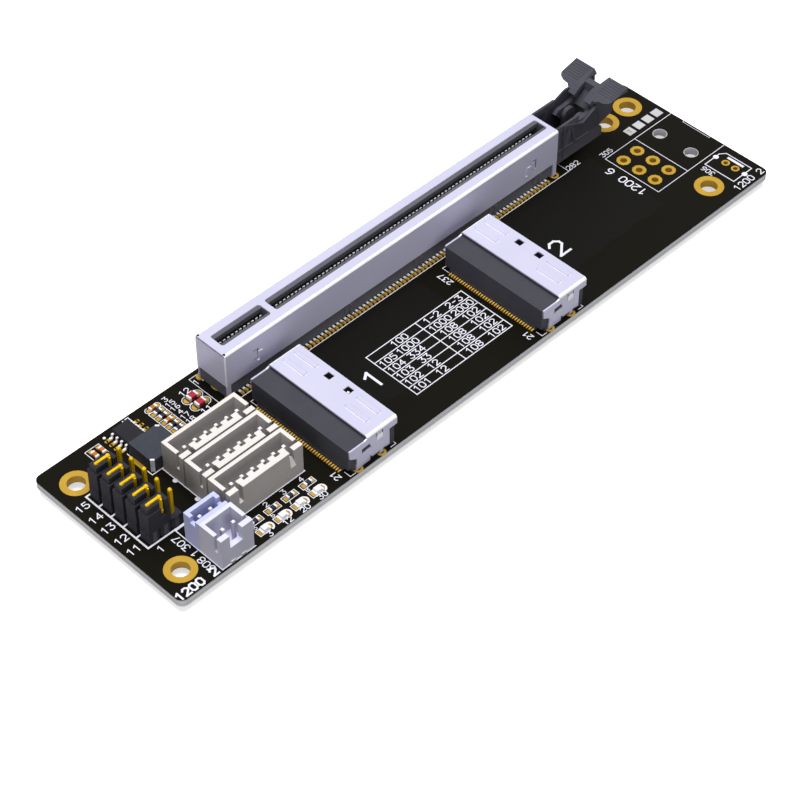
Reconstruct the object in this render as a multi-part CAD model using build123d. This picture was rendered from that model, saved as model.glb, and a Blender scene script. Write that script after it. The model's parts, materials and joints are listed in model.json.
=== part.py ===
"""Riser board that carries one long card slot and two wide cable connectors.

The frame's origin is the centre of the rectangle of four mounting holes, at the bottom
face of the board. X runs along the board, Y across it and Z up. Sizes are millimetres.
"""
from build123d import *
import os

# Board
LEFT_ZONE = 37.7
RIGHT_ZONE = 31.1
BOARD_WIDTH = 40.0
BOARD_THICKNESS = 1.6
BOARD_CORNER = 1.5
BOARD_Y = 0.25
MOUNT_INSET_LEFT = 4.9
MOUNT_INSET_RIGHT = 12.1
SPARE_MOUNT_INSET = 5.0
MOUNT_SPACING_Y = 28.0
MOUNT_HOLE_R = 1.75
MOUNT_PAD_R = 3.05
COPPER = 0.05
MOUNT_SIDES = 24
LAND_SIDES = 10

# Empty footprints at the right-hand end; their X is measured from the slot's end
SOCKET_PITCH = 4.2
SOCKET_OFFSET = 14.9
SOCKET_Y = -0.87
SOCKET_HOLE_R = 0.75
SOCKET_PAD_R = 1.5
GUIDE_HOLE_R = 1.5
GUIDE_OFFSET = 24.37
GUIDE_SPACING = 8.35
GUIDE_Y = -0.57
PAIR_OFFSET = 26.87
PAIR_Y = -13.05
PAIR_PITCH = 2.5
PAIR_HOLE_R = 0.5
PAIR_PAD_R = 0.9

# Card slot
SLOT_Y = 14.2
SLOT_LENGTH = 89.2
SHIELD_WIDTH = 8.0
SHIELD_TOP = 11.25
SHIELD_SHEET = 0.3
SHIELD_BEND = 0.5
SHIELD_RISE = 3.3
SHIELD_END_SLIT = 0.3
SHIELD_OPENING_WIDTH = 3.5
SHIELD_OPENING_MARGIN = 1.6
SHIELD_OPENING_END = 0.8
SHIELD_LEG_WIDTH = 1.0
SHIELD_LEG_REACH = 1.0
SHIELD_LEG_INSET = 0.55
SHIELD_LEG_ROOT = 0.5
TONGUE_LENGTH = 2.4
TONGUE_WIDTH = 1.3
TONGUE_INSET = 7.2
TONGUE_SHIFT = 0.3
TONGUE_RISE = 6.64
TONGUE_GAP = 0.25
HOUSING_RISE = 0.7
HOUSING_FOOT = 1.6
CARD_CHANNEL = 1.9
CHANNEL_FLOOR = 3.0
CONTACT_ROOM = 0.95
ROOF_THICKNESS = 1.0
CONTACT_PITCH = 1.0
CONTACT_WIDTH = 0.5
CONTACT_SHEET = 0.2
CONTACT_REACH = 4.86
CONTACT_BUMP = 0.65
CONTACT_HEIGHT = 9.4
FIRST_PINS = 11
KEY_WIDTH = 1.3
KEY_GAP = 3.0
KEY_OFFSET = 0.3
END_PIN_INSET = 3.1
PEG_R = 1.15
PEG_HOLE_CLEARANCE = 0.1
PEG_HOLE_SIDES = 16
PEG_INSET = 2.0

# Slot latch, leaned out; side-view points are X from the slot's end and the height above the board
BRACKET_LENGTH = 14.0
BRACKET_WALL = 0.5
BRACKET_FLOOR = 0.9
BRACKET_BOTTOM = 1.85
BRACKET_TOP = 11.15
BRACKET_RAIL = 3.15
BRACKET_ARM = 6.6
BRACKET_ARM_DEPTH = 1.4
BRACKET_POST = 1.2
PIVOT = (9.1, 7.2)
TRUNNION_R = 0.9
TRUNNION_CLEARANCE = 0.05
EAR_R = 1.7
EAR_THICKNESS = 0.9
LEVER_WIDTH = 5.9
LEVER_CHEEK = 0.95
LEVER_CLEARANCE = 0.1
LEVER_HUB_R = 1.8
CHEEK_FRONT = ((7.6, 6.3), (5.9, 8.2), (6.8, 9.0), (8.7, 9.1), (10.4, 9.3), (11.55, 10.0), (12.0, 10.7))
FACE = ((11.0, 10.45), (10.3, 11.45), (12.5, 12.9), (17.15, 14.0))
CHEEK_BACK = ((17.5, 11.5), (17.6, 7.2), (17.5, 5.3), (13.7, 4.4), (10.5, 5.4))
FACE_INSIDE = ((11.0, 10.45), (12.9, 11.75), (18.0, 12.95))
SPINE = ((13.6, 13.1), (15.0, 13.2), (14.5, 10.6), (12.1, 7.6), (11.2, 8.6), (13.4, 11.2))
RECESS_HALF = 1.2
VALLEY_HALF = 1.45
VALLEY_TOP_HALF = 2.5
VALLEY_DEPTH = 0.9
WING_HALF = 6.9
WING_EDGE = ((4.05, 12.2), (5.5, 12.3), (6.5, 12.6), (6.9, 13.0))
WING_UNDERSIDE = (11.5, 12.6)
CUT_MARGIN = 1.0

# Cable connectors; their rear faces are measured from the slot's start
CONNECTOR_OFFSETS = (2.8, 53.4)
CONNECTOR_Y = -6.1
CONNECTOR_LENGTH = 25.8
CONNECTOR_DEPTH = 12.05
CONNECTOR_REAR_TOP = 5.75
CONNECTOR_TOP = 6.7
SHELL_SHEET = 0.3
SHELL_BEND = 0.6
SHELL_FRONT_DEPTH = 7.5
SHELL_SKIRT = 2.0
SHELL_ARM_REAR = 0.15
SHELL_ARM_TOP = 5.88
SHELL_ARM_RUN = 0.65
SHELL_FRONT_BAND = 4.85
SHELL_LOWER_EDGE = ((10.1, 4.85), (10.1, 0.7), (8.7, 0.9), (5.9, 0.7), (5.2, 1.4), (5.2, 0.2),
                    (2.0, 0.2), (2.0, 2.9), (0.25, 3.96), (0.15, 5.35))
SHELL_SLOT = ((3.2, 4.4), (5.2, 4.6), (5.6, 3.3), (3.2, 3.1))
SHELL_HOOK = ((6.7, 4.6), (8.5, 5.9))
SHELL_HOOK_GAP = 0.3
SHELL_LEG_X = (2.3, 8.1)
SHELL_LEG_WIDTH = 0.8
SHELL_LEG_REACH = 1.1
SHELL_LEG_ROOT = 1.2
SHELL_RIB_HEIGHT = 0.2
SHELL_RIB_WIDTH = 1.0
SHELL_RIB_LENGTH = 5.6
SHELL_RIB_CHAMFER = 0.3
SHELL_RIB_SPACING = 2.8
SHELL_RIB_FRONT = 1.85
SHELL_RIB_END = 4.78
SHELL_RIB_SHIFT = 0.65
SHELL_WINDOW = (1.4, 1.6)
SHELL_WINDOW_FRONT = 1.8
SHELL_WINDOW_SPACING = 5.1
SHELL_WINDOW_SHIFT = 0.3
MOUTH_END = 1.7
MOUTH_HEIGHT = 2.2
MOUTH_Z = 3.6
MOUTH_DEPTH = 6.5
MOUTH_INSET = 0.5
TAIL_PITCH = 0.6
TAIL_END = 0.4
TAIL_WIDTH = 0.25
TAIL_SHEET = 0.15
TAIL_REACH = 0.6
TAIL_ROOM = 1.0
BLADE_SHEET = 0.25
BLADE_LENGTH = 5.6
BLADE_EVERY = 2

# Wire headers; offsets are their middles, measured in X from the slot's start
WAFER_PITCH = 2.5
WAFER_END = 2.45
WAFER_DEPTH = 5.75
WAFER_HEIGHT = 7.0
WAFER_WALL = 0.8
WAFER_FRONT_WALL = 1.1
WAFER_FLOOR = 1.4
WAFER_PIN_INSET = 2.35
WAFER_PIN = 0.64
WAFER_PIN_DROP = 0.3
WAFER_PIN_TAIL = 3.4
WAFER_SLOT = 1.0
WAFER_SLOT_SHIFT = 0.2
WAFER_SLOT_SILL = 3.3
WAFER_CORNER_SLOT = 0.7
WAFER_RIB = 1.3
WAFER_RIB_REACH = 0.8
WAFER_ROW_OFFSET = -10.8
WAFER_ROW_Y = (2.8, -3.35, -9.5)
WAFER_ROW_PINS = 6
OPEN_HEADER_OFFSET = -23.9
OPEN_HEADER_Y = -16.22
OPEN_HEADER_GAP = 2.9
OPEN_HEADER_GAP_SHIFT = -0.25
OPEN_HEADER_SILL = 3.9
SMALL_HEADER_OFFSET = -24.15
SMALL_HEADER_Y = -11.4
SMALL_HEADER_LENGTH = 7.0
SMALL_HEADER_DEPTH = 3.85
SMALL_HEADER_NOTCH = 1.3
SMALL_HEADER_NOTCH_Y = 1.65
SMALL_HEADER_PIN_INSET = 1.6
SMALL_HEADER_PIN_DROP = 1.3

# Jumper block; X is measured from the slot's start
JUMPER_OFFSET = -29.11
JUMPER_ROW_Y = (8.7, 5.3, 1.9, -1.5, -4.9)
JUMPER_PITCH = 2.54
JUMPER_PINS = 3
JUMPER_WIDTH = 2.5
JUMPER_BASE = 2.54
JUMPER_CHAMFER = 0.4
JUMPER_PIN = 0.64
JUMPER_PIN_TOP = 8.54
JUMPER_PIN_TAIL = 3.0
CAP_HEIGHT = 5.9
CAP_STEP = 0.35
CAP_STEP_DROP = 1.4
CAP_WALL = 0.45
CAP_SIDE_WALL = 0.35
CAP_CLEARANCE = 0.06
CAP_WINDOW_WIDTH = 1.3
CAP_WINDOW_DEPTH = 3.7
CLIP_SHEET = 0.25
CLIP_CLEARANCE = 0.03
CLIP_BRIDGE = 1.1
CLIP_TOP = 5.3
CLIP_BOTTOM = 1.0
PIN_POINT = 0.15
PIN_HOLE_CLEARANCE = 0.05

# Power parts; X is measured from the slot's start
REGULATOR_OFFSET = -18.8
REGULATOR_Y = 16.0
REGULATOR_SIZE = (3.9, 4.9, 1.5)
REGULATOR_STANDOFF = 0.12
REGULATOR_DRAFT = 0.12
REGULATOR_LEAD_PITCH = 1.27
REGULATOR_LEAD_WIDTH = 0.42
REGULATOR_LEAD_SHEET = 0.2
REGULATOR_LEAD_REACH = 1.05
REGULATOR_LEAD_FOOT = 0.6
INDUCTOR_OFFSET = -18.1
INDUCTOR_Y = 9.4
INDUCTOR_SIZE = (6.9, 6.5, 3.0)
INDUCTOR_CORNER = 0.8
INDUCTOR_TERMINAL_WIDTH = 0.8
INDUCTOR_TERMINAL_SHEET = 0.4

# Chips; X is measured from the slot's start
SMALL_CHIP = (1.6, 0.8, 0.5)
LARGE_CHIP = (2.0, 1.25, 0.8)
CHIP_END = 0.35
CHIP_COLUMN_OFFSET = -11.1
CHIP_COLUMN_Y = (18.3, 16.9, 15.5, 14.0, 12.6, 11.2)
CHIP_CAPACITOR_ROWS = (0, 3)
LEFT_CHIP_OFFSETS = ((-26.1, 16.8), (-24.45, 16.8))
COUPLING_CHIP_OFFSETS = ((-4.15, 15.3), (-4.15, 13.05))
LAMP_OFFSETS = (-16.4, -12.15, -7.95, -3.65)
LAMP_Y = -17.6
LAMP_RESISTOR_Y = -15.05
LAMP_SIZE = (2.0, 1.25, 0.75)
LAMP_BASE = 0.35
LAMP_TAPER = 8

# Places worked out from the sizes above
BOARD_TOP = BOARD_THICKNESS
BOARD_LENGTH = LEFT_ZONE + SLOT_LENGTH + RIGHT_ZONE
MOUNT_SPACING_X = BOARD_LENGTH - MOUNT_INSET_LEFT - MOUNT_INSET_RIGHT
BOARD_LEFT = -MOUNT_SPACING_X / 2 - MOUNT_INSET_LEFT
BOARD_X = BOARD_LEFT + BOARD_LENGTH / 2
SPARE_MOUNT_X = BOARD_LEFT + BOARD_LENGTH - SPARE_MOUNT_INSET
SLOT_START = BOARD_LEFT + LEFT_ZONE
SLOT_END = SLOT_START + SLOT_LENGTH
SLOT_X = (SLOT_START + SLOT_END) / 2
SOCKET_X = SLOT_END + SOCKET_OFFSET
GUIDE_X = SLOT_END + GUIDE_OFFSET
PAIR_X = SLOT_END + PAIR_OFFSET
CONNECTOR_X = [SLOT_START + offset for offset in CONNECTOR_OFFSETS]
WAFER_ROW_X = SLOT_START + WAFER_ROW_OFFSET
OPEN_HEADER_X = SLOT_START + OPEN_HEADER_OFFSET
SMALL_HEADER_X = SLOT_START + SMALL_HEADER_OFFSET
JUMPER_X = SLOT_START + JUMPER_OFFSET
REGULATOR_X = SLOT_START + REGULATOR_OFFSET
INDUCTOR_X = SLOT_START + INDUCTOR_OFFSET
CHIP_COLUMN_X = SLOT_START + CHIP_COLUMN_OFFSET
LEFT_CHIPS = [(SLOT_START + x, y) for x, y in LEFT_CHIP_OFFSETS]
COUPLING_CHIPS = [(SLOT_START + x, y) for x, y in COUPLING_CHIP_OFFSETS]
LAMP_X = [SLOT_START + x for x in LAMP_OFFSETS]
FIRST_PIN_X = SLOT_START + END_PIN_INSET
AFTER_KEY_X = FIRST_PIN_X + CONTACT_PITCH * (FIRST_PINS - 1) + KEY_GAP
LAST_PINS = round((SLOT_END - END_PIN_INSET - AFTER_KEY_X) // CONTACT_PITCH) + 1
SHIELD_INNER_TOP = SHIELD_TOP - SHIELD_SHEET
SHIELD_INNER_HALF = SHIELD_WIDTH / 2 - SHIELD_SHEET
BRACKET_WIDTH = LEVER_WIDTH + 2 * (LEVER_CLEARANCE + BRACKET_WALL)
MOUTH_LENGTH = CONNECTOR_LENGTH - 2 * MOUTH_END
TAIL_COUNT = round((MOUTH_LENGTH - 2 * TAIL_END) // TAIL_PITCH) + 1
CAP_LENGTH = JUMPER_PITCH + JUMPER_PIN + 2 * (CAP_CLEARANCE + CAP_WALL + CAP_STEP)
CAP_WIDTH = JUMPER_PIN + 2 * (CLIP_SHEET + CLIP_CLEARANCE + CAP_SIDE_WALL + CAP_STEP)


def outline(*points):
    """Closed flat face through the given points."""
    return make_face(Polyline(*points, close=True))


def rectangle(low, high):
    """Rectangle between two opposite corners."""
    middle = ((low[0] + high[0]) / 2, (low[1] + high[1]) / 2)
    return Pos(*middle) * Rectangle(high[0] - low[0], high[1] - low[1])


def along_x(sketch, start, end):
    """Extrude a sketch of Y and Z from one X to another."""
    plane = Plane(origin=(start, 0, 0), x_dir=(0, 1, 0), z_dir=(1, 0, 0))
    return extrude(plane * sketch, end - start)


def along_y(sketch, start, end):
    """Extrude a sketch of X and Z from one Y to another."""
    plane = Plane(origin=(0, end, 0), x_dir=(1, 0, 0), z_dir=(0, -1, 0))
    return extrude(plane * sketch, end - start)


def along_z(sketch, start, end):
    """Extrude a sketch of X and Y from one Z to another."""
    return extrude(Pos(0, 0, start) * sketch, end - start)


def joined(shapes):
    """One compound that keeps every given solid."""
    return Compound(children=[solid for shape in shapes for solid in shape.solids()])


def row_positions(centre, pitch, count):
    """Evenly spaced positions about a centre."""
    return [centre + pitch * (index - (count - 1) / 2) for index in range(count)]


# Positions that several parts share
MOUNT_HOLES = [(sx * MOUNT_SPACING_X / 2, sy * MOUNT_SPACING_Y / 2) for sx in (-1, 1) for sy in (-1, 1)]
MOUNT_HOLES.append((SPARE_MOUNT_X, MOUNT_SPACING_Y / 2))
SOCKET_HOLES = [(x, y) for x in row_positions(SOCKET_X, SOCKET_PITCH, 2)
                for y in row_positions(SOCKET_Y, SOCKET_PITCH, 3)]
PAIR_HOLES = [(PAIR_X, y) for y in row_positions(PAIR_Y, PAIR_PITCH, 2)]
GUIDE_HOLES = [(GUIDE_X, y) for y in row_positions(GUIDE_Y, GUIDE_SPACING, 2)]
JUMPER_PIN_X = row_positions(JUMPER_X, JUMPER_PITCH, JUMPER_PINS)
JUMPER_HOLES = [(x, y) for y in JUMPER_ROW_Y for x in JUMPER_PIN_X]
PEG_HOLES = [(x, SLOT_Y) for x in row_positions(SLOT_X, SLOT_LENGTH - 2 * PEG_INSET, 2)]
SHIELD_LEG_X = row_positions(SLOT_X, SLOT_LENGTH - 2 * SHIELD_LEG_INSET, 2)
SHIELD_LEG_Y = [SLOT_Y + side * (SHIELD_WIDTH - SHIELD_SHEET) / 2 for side in (-1, 1)]
PIN_X = [FIRST_PIN_X + CONTACT_PITCH * index for index in range(FIRST_PINS)]
PIN_X += [AFTER_KEY_X + CONTACT_PITCH * index for index in range(LAST_PINS)]
KEY_X = AFTER_KEY_X - KEY_GAP / 2 - KEY_OFFSET


def wafer_pin_places(centre_x, centre_y, count):
    """Pin places of a wire header whose slotted wall faces -Y."""
    y = centre_y - WAFER_DEPTH / 2 + WAFER_PIN_INSET
    return [(x, y) for x in row_positions(centre_x, WAFER_PITCH, count)]


WAFER_PINS = [wafer_pin_places(WAFER_ROW_X, y, WAFER_ROW_PINS) for y in WAFER_ROW_Y]
OPEN_HEADER_PINS = wafer_pin_places(OPEN_HEADER_X, OPEN_HEADER_Y, 2)
SMALL_HEADER_PINS = [(x, SMALL_HEADER_Y + SMALL_HEADER_DEPTH / 2 - SMALL_HEADER_PIN_INSET)
                     for x in row_positions(SMALL_HEADER_X, WAFER_PITCH, 2)]
CONNECTOR_LEGS = [(offset, CONNECTOR_Y + side * (CONNECTOR_LENGTH - SHELL_SHEET) / 2)
                  for offset in SHELL_LEG_X for side in (-1, 1)]


def circuit_board():
    """Board with round corners, drilled holes for bolts and pegs, and close holes for pins and legs."""
    sheet = Pos(BOARD_X, BOARD_Y) * RectangleRounded(BOARD_LENGTH, BOARD_WIDTH, BOARD_CORNER)
    holes = [Pos(*place) * round_edge(MOUNT_HOLE_R + COPPER, MOUNT_SIDES) for place in MOUNT_HOLES]
    holes += [Pos(*place) * round_edge(SOCKET_HOLE_R + COPPER, LAND_SIDES) for place in SOCKET_HOLES]
    holes += [Pos(*place) * round_edge(PAIR_HOLE_R + COPPER, LAND_SIDES) for place in PAIR_HOLES]
    holes += [Pos(*place) * Circle(GUIDE_HOLE_R) for place in GUIDE_HOLES]
    holes += [Pos(*place) * round_edge(PEG_R + PEG_HOLE_CLEARANCE, PEG_HOLE_SIDES) for place in PEG_HOLES]
    pin_hole = WAFER_PIN + 2 * PIN_HOLE_CLEARANCE
    pins = JUMPER_HOLES + sum(WAFER_PINS, []) + OPEN_HEADER_PINS + SMALL_HEADER_PINS
    holes += [Pos(*place) * Rectangle(pin_hole, pin_hole) for place in pins]
    room = 2 * PIN_HOLE_CLEARANCE
    leg = Rectangle(SHIELD_LEG_WIDTH + room, SHIELD_SHEET + room)
    holes += [Pos(x, y) * leg for x in SHIELD_LEG_X for y in SHIELD_LEG_Y]
    leg = Rectangle(SHELL_LEG_WIDTH + room, SHELL_SHEET + room)
    holes += [Pos(start + offset, y) * leg for start in CONNECTOR_X for offset, y in CONNECTOR_LEGS]
    return along_z(sheet - holes, 0, BOARD_TOP)


def round_edge(radius, sides):
    """Round outline with a small number of flats."""
    return RegularPolygon(radius, sides)


def plated_hole(place, hole_r, pad_r, sides):
    """Copper sleeve through the board, with a ring on each face."""
    bore = Circle(hole_r) if sides == MOUNT_SIDES else round_edge(hole_r, sides)
    tube = round_edge(hole_r + COPPER, sides) - bore
    ring = round_edge(pad_r, sides) - bore
    sleeve = along_z(tube, -COPPER, BOARD_TOP + COPPER)
    sleeve += along_z(ring, -COPPER, 0)
    sleeve += along_z(ring, BOARD_TOP, BOARD_TOP + COPPER)
    return Pos(*place) * sleeve


def slot_shield():
    """Folded sheet over the slot, open above the card channel and at the latch end, with a slit end flap."""
    half = SHIELD_WIDTH / 2
    low = BOARD_TOP + SHIELD_RISE
    top = BOARD_TOP + SHIELD_TOP
    outer = fillet(rectangle((SLOT_Y - half, low), (SLOT_Y + half, top)).vertices().group_by(Axis.Y)[-1],
                   SHIELD_BEND)
    inner_half = half - SHIELD_SHEET
    inner = rectangle((SLOT_Y - inner_half, low), (SLOT_Y + inner_half, top - SHIELD_SHEET))
    cover = along_x(outer - inner, SLOT_START, SLOT_END)
    flap_top = top - SHIELD_SHEET - SHIELD_END_SLIT
    flap = rectangle((SLOT_Y - inner_half, low), (SLOT_Y + inner_half, flap_top))
    cover += along_x(flap, SLOT_START, SLOT_START + SHIELD_SHEET)
    margin = SHIELD_OPENING_MARGIN
    windows = ((SLOT_START + margin, KEY_X - KEY_WIDTH / 2),
               (KEY_X + KEY_WIDTH / 2, SLOT_END - SHIELD_OPENING_END))
    for start, end in windows:
        middle = ((start + end) / 2, SLOT_Y)
        window = Pos(*middle) * RectangleRounded(end - start, SHIELD_OPENING_WIDTH, SHIELD_BEND)
        cover -= along_z(window, top - SHIELD_SHEET, top)
    for x in row_positions(SLOT_X + TONGUE_SHIFT, SLOT_LENGTH - 2 * TONGUE_INSET, 2):
        middle = (x, BOARD_TOP + TONGUE_RISE)
        frame = Rectangle(TONGUE_WIDTH, TONGUE_LENGTH)
        blade = Pos(-TONGUE_GAP, 0) * Rectangle(TONGUE_WIDTH - TONGUE_GAP, TONGUE_LENGTH - 2 * TONGUE_GAP)
        cover -= along_y(Pos(*middle) * (frame - blade), SLOT_Y - half, SLOT_Y + half)
    for x in SHIELD_LEG_X:
        leg = rectangle((x - SHIELD_LEG_WIDTH / 2, BOARD_TOP - SHIELD_LEG_REACH - BOARD_THICKNESS),
                        (x + SHIELD_LEG_WIDTH / 2, low + SHIELD_LEG_ROOT))
        for side in (-1, 1):
            edges = sorted((SLOT_Y + side * half, SLOT_Y + side * inner_half))
            cover += along_y(leg, *edges)
    return cover


def slot_housing():
    """Black moulding with the card channel, its key, contact rooms, feet and pegs."""
    start = SLOT_START + SHIELD_SHEET
    half = SHIELD_INNER_HALF
    low = BOARD_TOP + HOUSING_RISE
    top = BOARD_TOP + SHIELD_INNER_TOP
    body = along_x(rectangle((SLOT_Y - half, low), (SLOT_Y + half, top)), start, SLOT_END)
    channel = CARD_CHANNEL / 2
    room = channel + CONTACT_ROOM
    floor = BOARD_TOP + CHANNEL_FLOOR
    section = rectangle((SLOT_Y - channel, floor), (SLOT_Y + channel, top))
    section += rectangle((SLOT_Y - room, floor), (SLOT_Y + room, top - ROOF_THICKNESS))
    margin = SHIELD_OPENING_MARGIN
    body -= along_x(section, SLOT_START + margin, KEY_X - KEY_WIDTH / 2)
    body -= along_x(section, KEY_X + KEY_WIDTH / 2, SLOT_END - SHIELD_OPENING_END)
    foot = rectangle((SLOT_Y - half, BOARD_TOP), (SLOT_Y + half, low))
    for x in (start, SLOT_END - HOUSING_FOOT):
        body += along_x(foot, x, x + HOUSING_FOOT)
    body += along_x(rectangle((SLOT_Y - channel, BOARD_TOP), (SLOT_Y + channel, low)), start, SLOT_END)
    for place in PEG_HOLES:
        body += along_z(Pos(*place) * Circle(PEG_R), 0, low)
    return body


def slot_contact_row(side):
    """One row of sprung contacts, with tails out under the housing wall."""
    root = CARD_CHANNEL / 2 + CONTACT_ROOM / 2
    sheet = CONTACT_SHEET
    foot = BOARD_TOP
    tip = BOARD_TOP + CONTACT_HEIGHT
    path = ((CONTACT_REACH, foot), (CONTACT_REACH, foot + sheet), (root + sheet, foot + sheet),
            (CONTACT_BUMP + sheet, tip), (CONTACT_BUMP, tip), (root, foot))
    blade = along_x(outline(*[(SLOT_Y + side * y, z) for y, z in path]), -CONTACT_WIDTH / 2, CONTACT_WIDTH / 2)
    return joined([Pos(x, 0, 0) * blade for x in PIN_X])


def latch_points(points):
    """Side-view points of the latch, moved to the slot's end and up on to the board."""
    return [(SLOT_END + x, BOARD_TOP + z) for x, z in points]


def latch_bracket():
    """Open frame on the end of the slot, with two inner ears that carry the latch."""
    start = SLOT_END
    low = BOARD_TOP + BRACKET_BOTTOM
    top = BOARD_TOP + BRACKET_TOP
    rail = low + BRACKET_RAIL
    arm_low = top - BRACKET_ARM_DEPTH
    half = BRACKET_WIDTH / 2
    wall = rectangle((start, low), (start + BRACKET_LENGTH, rail))
    wall = fillet(wall.vertices().group_by(Axis.X)[-1].sort_by(Axis.Y)[-1], BRACKET_RAIL / 2)
    wall += rectangle((start, rail), (start + BRACKET_POST, top))
    wall += rectangle((start, arm_low), (start + BRACKET_ARM, top))
    strut = start + 2 * BRACKET_POST
    wall += outline((strut, rail), (strut + BRACKET_POST, rail), (strut + 2 * BRACKET_POST, arm_low),
                    (strut + BRACKET_POST, arm_low))
    side = along_y(wall, SLOT_Y - half, SLOT_Y - half + BRACKET_WALL)
    pivot = latch_points([PIVOT])[0]
    ear = Pos(*pivot) * Circle(EAR_R) + rectangle((pivot[0] - EAR_R, low), (pivot[0] + EAR_R, pivot[1]))
    ear -= Pos(*pivot) * Circle(TRUNNION_R + TRUNNION_CLEARANCE)
    ear_outer = LEVER_WIDTH / 2 - LEVER_CHEEK - LEVER_CLEARANCE
    side += along_y(ear, SLOT_Y - ear_outer, SLOT_Y - ear_outer + EAR_THICKNESS)
    frame = side + mirror(side, Plane(origin=(0, SLOT_Y, 0), z_dir=(0, 1, 0)))
    floor = rectangle((SLOT_Y - half, low), (SLOT_Y + half, low + BRACKET_FLOOR))
    frame += along_x(floor, start, pivot[0] + EAR_R)
    back = rectangle((SLOT_Y - half, low), (SLOT_Y + half, arm_low))
    return frame + along_x(back, start, start + BRACKET_FLOOR)


def lever_front_view():
    """The lever seen along X: two finger pads, the valley between them and the cheeks below."""
    half = LEVER_WIDTH / 2
    pad_top = FACE[-1][1]
    top = pad_top + CUT_MARGIN
    valley = pad_top - VALLEY_DEPTH
    right = [(0, valley), (VALLEY_HALF, valley), (VALLEY_TOP_HALF, top), (WING_HALF, top)]
    right += list(reversed(WING_EDGE)) + [(half, FACE[1][1]), (half, 0)]
    left = [(-y, z) for y, z in reversed(right[1:])]
    return Pos(SLOT_Y, BOARD_TOP) * outline(*(right + left))


def slot_latch():
    """Latch lever: finger pads over a recessed face, and two cheeks on trunnions."""
    half = LEVER_WIDTH / 2
    inner = half - LEVER_CHEEK
    pivot = latch_points([PIVOT])[0]
    side_view = outline(*latch_points(CHEEK_FRONT + FACE + CHEEK_BACK)) + Pos(*pivot) * Circle(LEVER_HUB_R)
    near = CHEEK_FRONT[1][0]
    far = CHEEK_BACK[1][0]
    near_x, far_x = SLOT_END + near, SLOT_END + far
    lever = along_y(side_view, SLOT_Y - WING_HALF, SLOT_Y + WING_HALF)
    lever &= along_x(lever_front_view(), near_x, far_x)
    past, before = far + CUT_MARGIN, near - CUT_MARGIN
    hollow = FACE_INSIDE + ((past, 0), (before, 0), (before, FACE_INSIDE[0][1]))
    lever -= along_y(outline(*latch_points(hollow)), SLOT_Y - inner, SLOT_Y + inner)
    under = outline(*latch_points(((near, 0), (past, 0), (past, WING_UNDERSIDE[1]), (near, WING_UNDERSIDE[0]))))
    for side in (-1, 1):
        edges = sorted((SLOT_Y + side * half, SLOT_Y + side * WING_HALF))
        lever -= along_y(under, *edges)
    top = BOARD_TOP + FACE[-1][1]
    valley = rectangle((SLOT_END + SPINE[1][0], BOARD_TOP), (far_x, top))
    lever -= along_y(valley, SLOT_Y - VALLEY_HALF, SLOT_Y + VALLEY_HALF)
    recess = rectangle((near_x, BOARD_TOP), (SLOT_END + SPINE[0][0], top))
    lever -= along_y(recess, SLOT_Y - RECESS_HALF, SLOT_Y + RECESS_HALF)
    lever += along_y(outline(*latch_points(SPINE)), SLOT_Y - inner, SLOT_Y + inner)
    trunnion = Pos(*pivot) * Circle(TRUNNION_R)
    reach = inner - LEVER_CLEARANCE - EAR_THICKNESS
    for edges in ((-half, -reach), (reach, half)):
        lever += along_y(trunnion, SLOT_Y + edges[0], SLOT_Y + edges[1])
    return lever


def connector_housing(start):
    """Moulding of a cable connector: low at the rear, high under the shell, open at the mouth."""
    half = CONNECTOR_LENGTH / 2 - SHELL_SHEET
    front = start + CONNECTOR_DEPTH - MOUTH_INSET
    step = start + CONNECTOR_DEPTH - SHELL_FRONT_DEPTH
    rear_top = BOARD_TOP + CONNECTOR_REAR_TOP
    top = BOARD_TOP + CONNECTOR_TOP - SHELL_SHEET
    profile = outline((start + TAIL_ROOM, BOARD_TOP), (front, BOARD_TOP), (front, top), (step, top),
                      (step, rear_top), (start, rear_top), (start, BOARD_TOP + TAIL_ROOM),
                      (start + TAIL_ROOM, BOARD_TOP + TAIL_ROOM))
    body = along_y(profile, CONNECTOR_Y - half, CONNECTOR_Y + half)
    middle = BOARD_TOP + MOUTH_Z
    mouth = rectangle((CONNECTOR_Y - MOUTH_LENGTH / 2, middle - MOUTH_HEIGHT / 2),
                      (CONNECTOR_Y + MOUTH_LENGTH / 2, middle + MOUTH_HEIGHT / 2))
    return body - along_x(mouth, front - MOUTH_DEPTH, front)


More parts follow.
